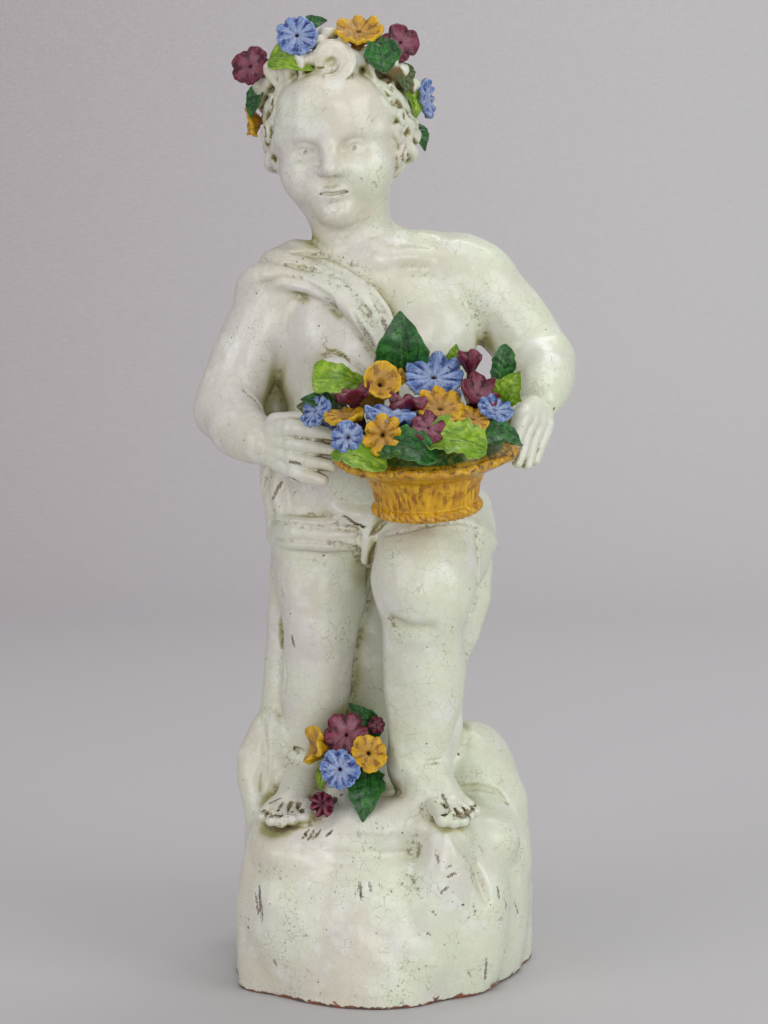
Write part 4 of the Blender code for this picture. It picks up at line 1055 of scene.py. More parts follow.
def make_basket(material):
    """The turned bowl: fluted wall, rope foot, notched brim and the bed inside."""
    wall_top = BRIM_THICKNESS * 1.6
    roll = FOOT_ROLL_HEIGHT
    # Radius, height above the brim, depth of flutes, of the rope and of the brim's notches.
    profile = (
        (FOOT_RADIUS * 0.5, -BASKET_HEIGHT + 0.6, 0, 0, 0),
        (FOOT_RADIUS * 0.88, -BASKET_HEIGHT, 0, 0.5, 0),
        (FOOT_RADIUS * 0.97, -BASKET_HEIGHT + roll * 0.14, 0, 1, 0),
        (FOOT_RADIUS * 1.01, -BASKET_HEIGHT + roll * 0.4, 0, 1, 0),
        (FOOT_RADIUS * 1.0, -BASKET_HEIGHT + roll * 0.68, 0, 1, 0),
        (FOOT_RADIUS * 0.965, -BASKET_HEIGHT + roll * 0.9, 0, 0.6, 0),
        (WAIST_RADIUS * 0.99, -BASKET_HEIGHT + roll * 1.06, 0.4, 0, 0),
        (WAIST_RADIUS + 0.6, -BASKET_HEIGHT + roll * 1.5, 1, 0, 0),
        (WAIST_RADIUS + 2, -BASKET_HEIGHT * 0.5, 1, 0, 0),
        (WAIST_RADIUS + 4.2, -wall_top * 2.2, 1, 0, 0),
        (WAIST_RADIUS + 7.5, -wall_top * 1.5, 0.8, 0, 0),
        (BRIM_RADIUS * 0.78, -wall_top * 1.0, 0.5, 0, 0),
        (BRIM_RADIUS * 0.87, -wall_top * 0.62, 0.2, 0, 0.2),
        (BRIM_RADIUS * 0.96, -wall_top * 0.22, 0, 0, 0.7),
        (BRIM_RADIUS * 1.0, BRIM_THICKNESS * 0.1, 0, 0, 1),
        (BRIM_RADIUS * 1.005, BRIM_THICKNESS * 0.5, 0, 0, 1),
        (BRIM_RADIUS * 0.98, BRIM_THICKNESS * 0.95, 0, 0, 1),
        (BRIM_RADIUS * 0.93, BRIM_THICKNESS, 0, 0, 0.5),
        (BRIM_RADIUS * 0.87, BRIM_THICKNESS * 0.9, 0, 0, 0),
        (BRIM_RADIUS * 0.72, BED_HEIGHT * 0.72, 0, 0, 0),
        (BRIM_RADIUS * 0.48, BED_HEIGHT * 1.05, 0, 0, 0),
        (BRIM_RADIUS * 0.14, BED_HEIGHT * 1.18, 0, 0, 0),
    )
    dense = np.array(curve_through([Vector(row) for row in profile], 5))
    turns = np.arange(BASKET_TURNS) * 2 * math.pi / BASKET_TURNS
    radius, height, flute, rope, notch = (dense[:, k][:, None] for k in range(5))
    t = turns[None, :]
    sway = 0.9 * np.sin(5 * t + 0.10 * height) + 0.5 * np.sin(11 * t - 0.14 * height)
    ridge = np.abs(np.sin(FLUTES * t / 2 + sway))
    fine = np.sin(2.3 * FLUTES * t + 3 * sway + 0.3 * height)
    wound = ROPE_TURNS * t / 2 + 0.42 * height + 0.8 * np.sin(3 * t)
    strand = np.abs(np.sin(wound + 0.5 * np.sin(7 * t + 1)))
    tooth = np.sin(53 * t + 1.3 * np.sin(7 * t))
    bed = np.clip((height - BRIM_THICKNESS * 0.85) / 1.5, 0, 1) * (radius < BRIM_RADIUS * 0.91)
    lump = np.sin(4 * t + 0.25 * radius) * np.sin(0.21 * radius + 2 * t)
    reach = radius + flute * (0.9 * ridge + 0.3 * fine - 0.7) + rope * (1.7 * strand - 1.0)
    reach = reach + notch * (0.7 * tooth + 0.8 * np.sin(5 * t + 1))
    rise = height + notch * (0.7 * np.sin(31 * t + 2) + 0.9 * np.sin(6 * t)) + bed * 1.2 * lump
    x, y = reach * np.cos(t), reach * np.sin(t) * DEPTH_SHARE
    points = np.stack([x, y, rise], axis=-1).reshape(-1, 3)
    groove = 1 - np.where(rope > 0.3, strand, ridge) ** 0.7
    groove = np.where(notch > 0.5, 0.5 - 0.5 * tooth, groove) * np.ones_like(reach)
    values = {
        "groove": groove.ravel(),
        "bed": (bed * np.ones_like(reach)).ravel(),
        "level": (height * np.ones_like(reach)).ravel(),
    }
    faces = strip_faces(len(dense), BASKET_TURNS)
    piece = capped_mesh("basket", placed(points, BASKET), faces, values, len(dense), BASKET_TURNS)
    finish_piece(piece, material, "flower_basket")


def strip_faces(rows, columns):
    """Four-sided faces over a tube of rows and columns."""
    i, j = np.meshgrid(np.arange(rows - 1), np.arange(columns), indexing="ij")
    k = (j + 1) % columns
    corners = [i * columns + j, i * columns + k, (i + 1) * columns + k, (i + 1) * columns + j]
    return np.stack(corners, axis=-1).reshape(-1, 4)


def capped_mesh(name, points, faces, values, rows, columns):
    """A tube of rings closed by a middle point at either end."""
    first, last = points[:columns].mean(axis=0), points[-columns:].mean(axis=0)
    low, high = len(points), len(points) + 1
    points = np.vstack([points, first, last])
    values = {k: np.concatenate([v, [v[:columns].mean(), v[-columns:].mean()]]) for k, v in values.items()}
    j = np.arange(columns)
    k = (j + 1) % columns
    top = (rows - 1) * columns
    fan = np.concatenate(
        [
            np.stack([k, j, np.full_like(j, low)], axis=-1),
            np.stack([top + j, top + k, np.full_like(j, high)], axis=-1),
        ]
    )
    triangles = np.concatenate([faces[:, (0, 1, 2)], faces[:, (0, 2, 3)], fan])
    return make_mesh(name, points, triangles, values)


# Flowers

# What the flowers of each glaze have in common: number of petals, depth of the clefts between
# them, how ruffled the edge is, how proud each petal stands and how wide the eye is.
HABITS = {
    "blue_glaze": (9, 0.12, 0.08, 0.10, 0.10),
    "yellow_glaze": (8, 0.12, 0.10, 0.08, 0.11),
    "purple_glaze": (6, 0.17, 0.16, 0.08, 0.07),
}
# Flowers that differ from the habit of their glaze, by name.
OWN_HABITS = {
    "yellow_trumpet": (5, 0.05, 0.03, 0.02, 0.16),
    "tall_purple": (5, 0.22, 0.16, 0.05, 0.10),
    "open_purple": (4, 0.30, 0.14, 0.04, 0.08),
    "large_blue": (10, 0.12, 0.08, 0.10, 0.07),
    "low_yellow_middle": (7, 0.22, 0.07, 0.12, 0.15),
    "low_blue_left": (7, 0.16, 0.06, 0.10, 0.15),
    "purple_left": (5, 0.14, 0.12, 0.05, 0.07),
    "purple_right": (4, 0.30, 0.16, 0.05, 0.07),
    "yellow_front": (8, 0.12, 0.10, 0.08, 0.08),
    "blue_front": (9, 0.12, 0.05, 0.09, 0.08),
    "yellow_left": (5, 0.34, 0.24, 0.05, 0.08),
    "purple_bud": (7, 0.10, 0.06, 0.45, 0.05),
    "low_purple_middle": (5, 0.16, 0.20, 0.08, 0.07),
    "flat_blue_middle": (7, 0.12, 0.14, 0.10, 0.08),
    "flat_purple_middle": (5, 0.18, 0.24, 0.08, 0.07),
    "flat_purple_left": (5, 0.18, 0.22, 0.08, 0.07),
}
PETAL_TURNS = 90
PETAL_RINGS = 20


def make_flower(name, glaze, material, node, centre, look, root, diameter, cup, seed):
    """A cup of lobed petals facing look, on a stem that starts near root."""
    petals, cleft, ruffle, crown, eye = OWN_HABITS.get(name, HABITS[glaze])
    draw = np.random.default_rng(seed)
    size = diameter / 2
    calyx = size * 0.34 + PETAL_THICKNESS
    away = ((centre - root).normalized() + look * 0.6).normalized()
    foot = centre - away * max((centre - root).length, calyx + size * 0.5)
    turn = look.to_track_quat("Z", "Y")
    stem_turn = look.rotation_difference(away) @ turn
    t = np.arange(PETAL_TURNS) * 2 * math.pi / PETAL_TURNS
    lean = draw.uniform(0, 2 * math.pi, 4)
    skew = t + 0.16 * np.sin(t + lean[0]) + 0.10 * np.sin(2 * t + lean[1])
    count = np.floor((skew / (2 * math.pi) * petals + 0.5) % petals).astype(int)
    vary = draw.uniform(-1, 1, (3, petals))
    lobe = np.abs(np.cos(petals * skew / 2)) ** 0.75
    soft = 0.5 + 0.5 * np.cos(petals * skew)
    full = vary[0][count] * lobe
    edge = size * (1 - cleft * (1 - lobe) ** 1.5) * (1 + 0.07 * full)
    edge = edge * (1 + 0.02 * np.sin(3 * petals * skew + 2) + 0.03 * np.sin(2 * t + lean[2]))
    wave = vary[1][count] * lobe * 1.1 + 0.6 * np.sin(petals * skew + vary[2][0]) + 0.5 * np.sin(t + lean[3])
    u = np.linspace(0, 1, PETAL_RINGS)[:, None] ** 0.9
    dish = size * cup * u ** (1.15 if cup > 0.4 else 1.7)
    swell = size * crown * 0.6 * soft * np.sin(math.pi * u) ** 0.8
    valley = size * crown * 1.3 * (1 - soft) ** 2 * u**2
    frill = size * ruffle * wave * u**2.2
    pit = size * 0.18 * np.exp(-((u / (eye * 1.15)) ** 4))
    rim = size * 0.05 * np.exp(-(((u - eye * 1.9) / 0.08) ** 2))
    top = dish + swell - valley + frill - pit + rim - size * 0.05 * np.clip(u - 0.9, 0, 1) * 10
    reach = edge * u
    rings = [(reach, top, u * np.ones_like(top), np.ones_like(top))]
    # Round the edge and back under it to the calyx.
    last = top[-1:]
    under = []
    for share, drop in ((1.012, 0.3), (1.0, 0.72), (0.965, 1.0)):
        under.append((edge * share, last - PETAL_THICKNESS * drop, share, 0.6))
    for share in (0.86, 0.7, 0.54, 0.4):
        row = np.array([np.interp(share, u[:, 0], top[:, k]) for k in range(PETAL_TURNS)])
        sink = PETAL_THICKNESS + (1 - share) ** 1.5 * calyx * 1.25
        pull = 0.35 + 0.65 * share
        under.append((edge * share, (row * pull - sink)[None], share, 0.2))
    under.append((np.full_like(t, size * 0.26), np.full((1, PETAL_TURNS), -calyx), 0.26, 0.0))
    round_once = np.ones((1, PETAL_TURNS))
    for radius, height, share, face in under:
        rings.append((radius[None], height, share * round_once, face * round_once))
    radii, heights, shares, faces_up = (np.concatenate([r[k] for r in rings]) for k in range(4))
    local = np.stack([radii * np.cos(t), radii * np.sin(t), heights], axis=-1)
    points = local.reshape(-1, 3) @ np.array(turn.to_matrix()).T + np.array(centre)
    stem = []
    for share in (0.5, 1.0):
        ring = np.stack([np.cos(t), np.sin(t), 0 * t], axis=-1) * size * (0.42 - 0.14 * share)
        spot = (centre - look * calyx).lerp(foot, share)
        stem.append(ring @ np.array(stem_turn.to_matrix()).T + np.array(spot))
    points = np.vstack([points, *stem])
    pad = np.zeros(2 * PETAL_TURNS)
    cleft_value = np.tile((1 - soft) ** 2, len(radii))
    values = {
        "petal": np.concatenate([shares.ravel(), pad]),
        "cleft": np.concatenate([cleft_value, pad + 1]),
        "upper": np.concatenate([faces_up.ravel(), pad]),
        "bearing": np.concatenate([np.tile(np.abs(t - math.pi), len(radii)), np.tile(t, 2)]),
        "seed": np.full(len(points), (seed * 0.37) % 7.0),
    }
    rows = len(radii) + 2
    faces = strip_faces(rows, PETAL_TURNS)[:, ::-1]
    piece = capped_mesh(node, points, faces, values, rows, PETAL_TURNS)
    finish_piece(piece, material, node)


# Leaves

LEAF_STEPS = 40
LEAF_WIDTHS = 12
LEAF_CURL = 0.12  # how far a leaf bows out, as a share of its length
LEAF_VEINS = 5.2


def make_leaf(glaze, material, node, base, tip, look, width, seed):
    """A leaf from base to tip, its face towards look, folded along the midrib."""
    draw = np.random.default_rng(seed)
    outline, rumple = LEAF_HABITS.get(node, (POINTED, 0.0))
    along = tip - base
    length = along.length
    along.normalize()
    up = (look - along * look.dot(along)).normalized()
    side = along.cross(up)
    t = np.linspace(0, 1, LEAF_STEPS + 1)[:, None]
    s = np.linspace(-1, 1, 2 * LEAF_WIDTHS + 1)[None, :]
    half = width / 2 * np.interp(t[:, 0], *zip(*outline))[:, None]
    phase = draw.uniform(0, 6, 4)
    ragged = 0.04 + 0.05 * rumple
    half = half * (
        1 + ragged * np.sin(19 * t + phase[0] + 2 * (s > 0)) + 0.6 * ragged * np.sin(41 * t + phase[1])
    )
    slant = (t * LEAF_VEINS - np.abs(s) * 0.9 + 0.5 * (s > 0)) % 1
    vein = np.exp(-(((slant - 0.5) / 0.07) ** 2)) * (np.abs(s) > 0.06) * (1 - np.abs(s) ** 3)
    rib = np.exp(-((s / 0.055) ** 2)) * (1 - 0.6 * t)
    bow = length * (LEAF_CURL * np.sin(math.pi * t) - LEAF_DROOPS.get(node, 0.0) * t**3)
    wing = half * 0.28 * np.abs(s) ** 1.3
    wave = np.sin(9 * t + phase[2] + 1.5 * (s > 0)) * np.abs(s) ** 1.5 * np.sin(math.pi * t) ** 0.5
    wave = width * (0.05 * wave + 0.07 * rumple * np.sin(5 * t + 2.2 * s + phase[3]) * np.abs(s))
    pillow = 0.5 * np.cos(2 * math.pi * (slant - 0.5)) * -1 * (1 - np.abs(s) ** 2)
    upper = bow + wing + wave - 0.9 * rib - 0.45 * vein + 0.5 * pillow
    thick = LEAF_THICKNESS * (1 - 0.55 * np.abs(s) ** 4) * (1 - 0.5 * t**4)
    lower = bow + wing + wave - thick
    a, u, w = (np.array(v) for v in (along, up, side))
    start = np.array(base)

    def sheet(height, share):
        grid = start + (t * length)[..., None] * a + (half * s * share)[..., None] * w + height[..., None] * u
        return grid.reshape(-1, 3)

    top, bottom = sheet(upper, 1.0), sheet(lower, 0.97)
    rows, columns = LEAF_STEPS + 1, 2 * LEAF_WIDTHS + 1
    i, j = np.meshgrid(np.arange(rows - 1), np.arange(columns - 1), indexing="ij")
    corner = i * columns + j
    quad = np.stack([corner, corner + 1, corner + columns + 1, corner + columns], axis=-1).reshape(-1, 4)
    under = quad[:, ::-1] + rows * columns
    border = list(range(columns))
    border += [(k + 1) * columns - 1 for k in range(1, rows)]
    border += [rows * columns - 2 - k for k in range(columns - 1)]
    border += [(rows - 2 - k) * columns for k in range(rows - 2)]
    border = np.array(border)
    following = np.roll(border, -1)
    rim = np.stack([following, border, border + rows * columns, following + rows * columns], axis=-1)
    full = np.ones_like(t + s)
    values = {
        "rib": np.concatenate([(np.maximum(rib, 0.75 * vein) * full).ravel(), np.zeros(top.shape[0])]),
        "edge": np.tile((np.maximum(np.abs(s), (2 * t - 1) ** 6) * full).ravel(), 2),
        "along": np.tile((t * full).ravel(), 2),
        "across": np.tile((s * full).ravel(), 2),
        "seed": np.full(2 * len(top), (seed * 0.73) % 9.0),
    }
    piece = make_mesh(node, np.vstack([top, bottom]), np.concatenate([quad, under, rim]), values)
    finish_piece(piece, material, node)


# Share of a leaf's width at shares of its length: pointed, round-ended and cut straight.
POINTED = (
    (0.0, 0.20), (0.08, 0.5), (0.2, 0.84), (0.32, 0.97), (0.45, 0.98), (0.6, 0.85), (0.75, 0.62),
    (0.88, 0.34), (1.0, 0.05),
)
ROUND = (
    (0.0, 0.35), (0.08, 0.66), (0.2, 0.9), (0.4, 1.0), (0.62, 0.98), (0.8, 0.8), (0.92, 0.52), (1.0, 0.16),
)
BLUNT = ((0.0, 0.4), (0.1, 0.5), (0.3, 0.62), (0.6, 0.78), (0.85, 0.92), (0.95, 0.9), (1.0, 0.74))
# Leaves that differ from a flat pointed one: their outline and how rumpled they lie.
LEAF_HABITS = {
    "basket_leaf_long_lime_left": (BLUNT, 0.3),
    "basket_leaf_dark_right_upright": (ROUND, 0.3),
    "basket_leaf_lime_right": (POINTED, 0.9),
    "basket_leaf_lime_low_left": (ROUND, 0.6),
    "basket_leaf_dark_low_middle": (ROUND, 0.9),
    "basket_leaf_large_lime_low_right": (ROUND, 1.4),
    "basket_leaf_dark_low_right": (ROUND, 1.2),
    "wreath_leaf_lime_left": (POINTED, 0.2),
    "wreath_leaf_dark_front": (POINTED, 0.4),
    "posy_leaf_dark_low": (POINTED, 0.6),
}

# How far a leaf's tip bends back, as a share of its length, so that it passes behind a flower.
LEAF_DROOPS = {"wreath_leaf_lime_left": 0.3}


# Basket flowers: name, glaze, place in the basket's frame, bearing and rise of its face,
# diameter and depth of the cup.
BASKET_FLOWERS = (
    ("large_blue", "blue_glaze", (10, 18, 56), 2, 44, 45, 0.3),
    ("yellow_trumpet", "yellow_glaze", (-31, 8, 56), 12, 26, 30, 0.6),
    ("tall_purple", "purple_glaze", (38, 19, 65), -8, 70, 21, 0.9),
    ("open_purple", "purple_glaze", (42, 3, 44), 34, 40, 34, 0.5),
    ("flat_purple_left", "purple_glaze", (-52, 1, 52), -22, 72, 30, 0.15),
    ("flat_purple_middle", "purple_glaze", (-12, -11, 47), -10, 68, 29, 0.15),
    ("flat_yellow_left", "yellow_glaze", (-59, -16, 39), -16, 72, 31, 0.15),
    ("flat_blue_middle", "blue_glaze", (-25, -28, 42), -6, 74, 37, 0.15),
    ("large_yellow", "yellow_glaze", (13, -14, 40), 4, 52, 38, 0.25),
    ("low_yellow_right", "yellow_glaze", (37, -23, 33), 24, 54, 26, 0.15),
    ("far_blue_left", "blue_glaze", (-81, 2, 39), -46, 36, 27, 0.15),
    ("low_blue_left", "blue_glaze", (-57, -41, 29), -16, 8, 26, 0.15),
    ("low_yellow_middle", "yellow_glaze", (-31, -49, 32), -4, 12, 30, 0.15),
    ("low_purple_middle", "purple_glaze", (3, -45, 34), 10, 40, 27, 0.15),
    ("blue_right", "blue_glaze", (54, -11, 36), 30, 50, 27, 0.3),
    ("small_yellow", "yellow_glaze", (-18, 22, 57), 8, 40, 16, 0.4),
    ("back_yellow", "yellow_glaze", (-40, 40, 36), -150, 50, 28, 0.2),
    ("back_blue", "blue_glaze", (18, 46, 36), 170, 50, 28, 0.2),
)

# Basket leaves: name, glaze, base and tip in the basket's frame, where the face looks, width.
BASKET_LEAVES = (
    ("tall_dark", "dark_green_glaze", (-14, 36, 50), (-13, 32, 106), (0, 25), 43),
    ("long_lime_left", "lime_green_glaze", (-40, 26, 48), (-82, 13, 62), (-10, 26), 30),
    ("small_lime_back", "lime_green_glaze", (23, 36, 56), (29, 38, 77), (10, 20), 14),
    ("dark_right_upright", "dark_green_glaze", (60, 27, 46), (66, 29, 77), (10, 10), 19),
    ("lime_right", "lime_green_glaze", (62, 6, 36), (75, 0, 62), (-10, 20), 24),
    ("lime_low_left", "lime_green_glaze", (-68, -38, 19), (-30, -60, 9), (-12, 44), 29),
    ("dark_low_middle", "dark_green_glaze", (-35, -48, 25), (8, -65, 14), (-4, 42), 31),
    ("large_lime_low_right", "lime_green_glaze", (0, -46, 26), (45, -56, 19), (12, 42), 38),
    ("dark_low_right", "dark_green_glaze", (40, -30, 22), (73, -29, 13), (34, 48), 25),
    ("olive_far_left", "olive_glaze", (-56, 22, 24), (-96, 24, 38), (-8, 34), 32),
    ("teal_far_left", "dark_green_glaze", (-66, 14, 40), (-92, 10, 47), (-20, 30), 15),
)

# Wreath flowers: name, glaze, place in drawn units, bearing and rise of the face, diameter
# and depth of the cup. They run round the head from the viewer's left.
WREATH_FLOWERS = (
    ("purple_left", "purple_glaze", (-106, -26, 739), -24, 14, 32, 0.18),
    ("blue_front", "blue_glaze", (-68, -52, 760), -10, 22, 34, 0.18),
    ("yellow_front", "yellow_glaze", (-20, -46, 763), 6, 52, 37, 0.3),
    ("purple_right", "purple_glaze", (13, -32, 757), 22, 20, 32, 0.18),
    ("blue_right", "blue_glaze", (35, 0, 716), 72, 6, 32, 0.18),
    ("yellow_left", "yellow_glaze", (-108, 12, 699), -84, 0, 24, 0.18),
    ("yellow_back", "yellow_glaze", (10, 54, 694), 136, 4, 30, 0.18),
    ("purple_back", "purple_glaze", (-34, 66, 686), 178, 2, 30, 0.18),
    ("blue_back", "blue_glaze", (-80, 48, 692), 222, 4, 30, 0.18),
)

# Wreath leaves: name, glaze, base and tip in drawn units, where the face looks, width.
WREATH_LEAVES = (
    ("lime_left", "lime_green_glaze", (-90, -42, 744), (-60, -62, 738), (-16, 24), 27),
    ("dark_top", "dark_green_glaze", (-67, -32, 768), (-45, -26, 775), (0, 24), 13),
    ("dark_front", "dark_green_glaze", (1, -62, 731), (-5, -50, 761), (4, 16), 29),
    ("olive_right", "olive_glaze", (12, -32, 742), (18, -30, 718), (30, 10), 18),
    ("lime_right", "lime_green_glaze", (16, -12, 730), (26, -14, 700), (50, 6), 24),
    ("dark_low_right", "dark_green_glaze", (20, 22, 700), (34, 18, 676), (50, 6), 18),
    ("dark_low_left", "dark_green_glaze", (-94, -6, 728), (-107, -10, 700), (-50, 6), 22),
    ("lime_back_right", "lime_green_glaze", (-8, 58, 690), (-14, 68, 668), (170, 10), 20),
    ("dark_back_left", "dark_green_glaze", (-60, 58, 690), (-62, 66, 666), (200, 10), 22),
)

# The posy at the feet, in the same form.
POSY_FLOWERS = (
    ("purple", "purple_glaze", (-30, -66, 209), 0, 20, 36, 0.18),
    ("blue", "blue_glaze", (-35, -80, 184), -8, 6, 32, 0.18),
    ("yellow_right", "yellow_glaze", (-12, -74, 196), 16, 24, 30, 0.25),
    ("yellow_left", "yellow_glaze", (-52, -62, 198), -66, 22, 34, 0.5),
    ("purple_bud", "purple_glaze", (-48, -84, 158), -16, -2, 20, 0.8),
    ("small_purple", "purple_glaze", (-6, -50, 214), 10, 14, 14, 0.3),
)
POSY_LEAVES = (
    ("dark_top", "dark_green_glaze", (-4, -42, 203), (-28, -46, 231), (2, 20), 20),
    ("dark_low", "dark_green_glaze", (-14, -58, 182), (-17, -88, 144), (2, 22), 33),
    ("lime", "lime_green_glaze", (-44, -60, 184), (-51, -72, 166), (-30, 10), 13),
)


def root_on_bed(centre):
    """Where a basket sprig's stem starts: inside the bed, below the sprig."""
    reach = Vector((centre.x, centre.y / DEPTH_SHARE, 0))
    limit = BRIM_RADIUS * 0.62
    if reach.length > limit:
        reach = reach.normalized() * limit
    depth = BED_HEIGHT * (0.75 - 0.75 * (reach.length / BRIM_RADIUS) ** 2)
    return Vector((reach.x, reach.y * DEPTH_SHARE, depth))


def nearest_on(line, place):
    return min(curve_through(line, 6), key=lambda point: (point - place).length)


def make_sprigs(glazes):
    """Every flower and leaf, in place of its node."""
    wreath_line = [HEAD @ wreath_point(10 * k) for k in range(37)]
    groups = (
        ("basket", BASKET_FLOWERS, BASKET_LEAVES, BASKET, None),
        ("wreath", WREATH_FLOWERS, WREATH_LEAVES, FIGURE, wreath_line),
        ("posy", POSY_FLOWERS, POSY_LEAVES, FIGURE, list(POSY_STEM)),
    )
    seed = 1
    for group, flowers, leaves, place, line in groups:
        for name, glaze, spot, bearing, rise, diameter, cup in flowers:
            centre = Vector(spot)
            root = nearest_on(line, centre) if line else place @ root_on_bed(centre)
            node = f"{group}_flower_{name}"
            look = facing(bearing, rise)
            make_flower(name, glaze, glazes[glaze], node, place @ centre, look, root, diameter, cup, seed)
            seed += 1
        for name, glaze, base, tip, look, width in leaves:
            node = f"{group}_leaf_{name}"
            ends = place @ Vector(base), place @ Vector(tip)
            make_leaf(glaze, glazes[glaze], node, *ends, facing(*look), width, seed)
            seed += 1


# Glazes

class Paint:
    """The node tree of a glaze, with short words for the nodes it needs. Sizes in millimetres."""

    def __init__(self, name, roughness, coat, shine=0.5):
        self.material = bpy.data.materials.new(name)
        self.material.use_nodes = True
        self.tree = self.material.node_tree
        self.shader = self.tree.nodes["Principled BSDF"]
        self.shader.inputs["Roughness"].default_value = roughness
        self.shader.inputs["Coat Weight"].default_value = coat
        self.shader.inputs["Specular IOR Level"].default_value = shine
        self.shader.inputs["Coat Roughness"].default_value = 0.08
        self.place = self.node("ShaderNodeTexCoord").outputs["Object"]

    def node(self, kind, **settings):
        made = self.tree.nodes.new(kind)
        for key, value in settings.items():
            setattr(made, key, value)
        return made

    def feed(self, socket, value):
        if isinstance(value, bpy.types.NodeSocket):
            self.tree.links.new(value, socket)
        elif isinstance(value, tuple) and len(value) == 3 and socket.type == "RGBA":
            socket.default_value = (*value, 1)
        else:
            socket.default_value = value

    def value(self, key):
        """A painting value that the mesh carries."""
        return self.node("ShaderNodeAttribute", attribute_name=key).outputs["Fac"]

    def math(self, operation, a, b=0.0, clamp=False):
        made = self.node("ShaderNodeMath", operation=operation, use_clamp=clamp)
        self.feed(made.inputs[0], a)
        self.feed(made.inputs[1], b)
        return made.outputs[0]

    def ramp(self, value, low, high, start=0.0, end=1.0):
        """A soft step from start to end while value goes from low to high."""
        made = self.node("ShaderNodeMapRange", interpolation_type="SMOOTHSTEP")
        for index, part in enumerate((value, low, high, start, end)):
            self.feed(made.inputs[index], part)
        return made.outputs["Result"]

    def mix(self, a, b, share):
        made = self.node("ShaderNodeMix", data_type="RGBA")
        self.feed(made.inputs["Factor"], share)
        self.feed(made.inputs["A"], a)
        self.feed(made.inputs["B"], b)
        return made.outputs["Result"]

    def join(self, x, y, z):
        made = self.node("ShaderNodeCombineXYZ")
        for index, part in enumerate((x, y, z)):
            self.feed(made.inputs[index], part)
        return made.outputs[0]

    def split(self, axis):
        made = self.node("ShaderNodeSeparateXYZ")
        self.feed(made.inputs[0], self.place)
        return made.outputs[axis]

    def stretched(self, x, y, z):
        """Places scaled differently along each axis, for strokes of the brush."""
        made = self.node("ShaderNodeVectorMath", operation="MULTIPLY")
        self.feed(made.inputs[0], self.place)
        made.inputs[1].default_value = (x, y, z)
        return made.outputs[0]

    def noise(self, size, detail=3.0, roughness=0.5, at=None):
        made = self.node("ShaderNodeTexNoise")
        self.feed(made.inputs["Vector"], at or self.place)
        made.inputs["Scale"].default_value = 1 / (size * UNIT) if at is None else 1 / size
        made.inputs["Detail"].default_value = detail
        made.inputs["Roughness"].default_value = roughness
        return made.outputs["Fac"]

    def warped(self, size, amount):
        """Places pushed about a little, so that cells get uneven sides."""
        wobble = self.node("ShaderNodeTexNoise")
        self.feed(wobble.inputs["Vector"], self.place)
        wobble.inputs["Scale"].default_value = 1 / (size * UNIT)
        wobble.inputs["Detail"].default_value = 2.0
        centred = self.node("ShaderNodeVectorMath", operation="SUBTRACT")
        self.feed(centred.inputs[0], wobble.outputs["Color"])
        centred.inputs[1].default_value = (0.5, 0.5, 0.5)
        scaled = self.node("ShaderNodeVectorMath", operation="SCALE")
        self.feed(scaled.inputs[0], centred.outputs[0])
        scaled.inputs["Scale"].default_value = amount * UNIT
        added = self.node("ShaderNodeVectorMath", operation="ADD")
        self.feed(added.inputs[0], self.place)
        self.feed(added.inputs[1], scaled.outputs[0])
        return added.outputs[0]

    def cells(self, size, feature, at):
        made = self.node("ShaderNodeTexVoronoi", feature=feature)
        self.feed(made.inputs["Vector"], at)
        made.inputs["Scale"].default_value = 1 / (size * UNIT)
        return made

    def cracks(self, size, width, at):
        """Thin lines between uneven cells, 1 on the line."""
        distance = self.cells(size, "DISTANCE_TO_EDGE", at).outputs["Distance"]
        return self.ramp(distance, width / size * 0.5, width / size, 1.0, 0.0)

    def dots(self, size, radius, share, at):
        """Round specks in a share of the cells, 1 inside."""
        made = self.cells(size, "F1", at)
        chosen = self.node("ShaderNodeSeparateColor")
        self.feed(chosen.inputs[0], made.outputs["Color"])
        reach = self.math("MULTIPLY", chosen.outputs[1], radius / size)
        inside = self.math("LESS_THAN", made.outputs["Distance"], reach)
        return self.math("MULTIPLY", inside, self.math("LESS_THAN", chosen.outputs[0], share))

    def bump(self, height, distance, below=None):
        made = self.node("ShaderNodeBump")
        made.inputs["Strength"].default_value = 1.0
        made.inputs["Distance"].default_value = distance * UNIT
        self.feed(made.inputs["Height"], height)
        if below is not None:
            self.feed(made.inputs["Normal"], below)
        return made.outputs[0]

    def finish(self, colour, roughness=None, normal=None):
        self.feed(self.shader.inputs["Base Color"], colour)
        if roughness is not None:
            self.feed(self.shader.inputs["Roughness"], roughness)
        if normal is not None:
            self.feed(self.shader.inputs["Normal"], normal)
            self.feed(self.shader.inputs["Coat Normal"], normal)
        return self.material


GRIME = (0.055, 0.042, 0.028)
BARE_CLAY = (0.50, 0.20, 0.13)


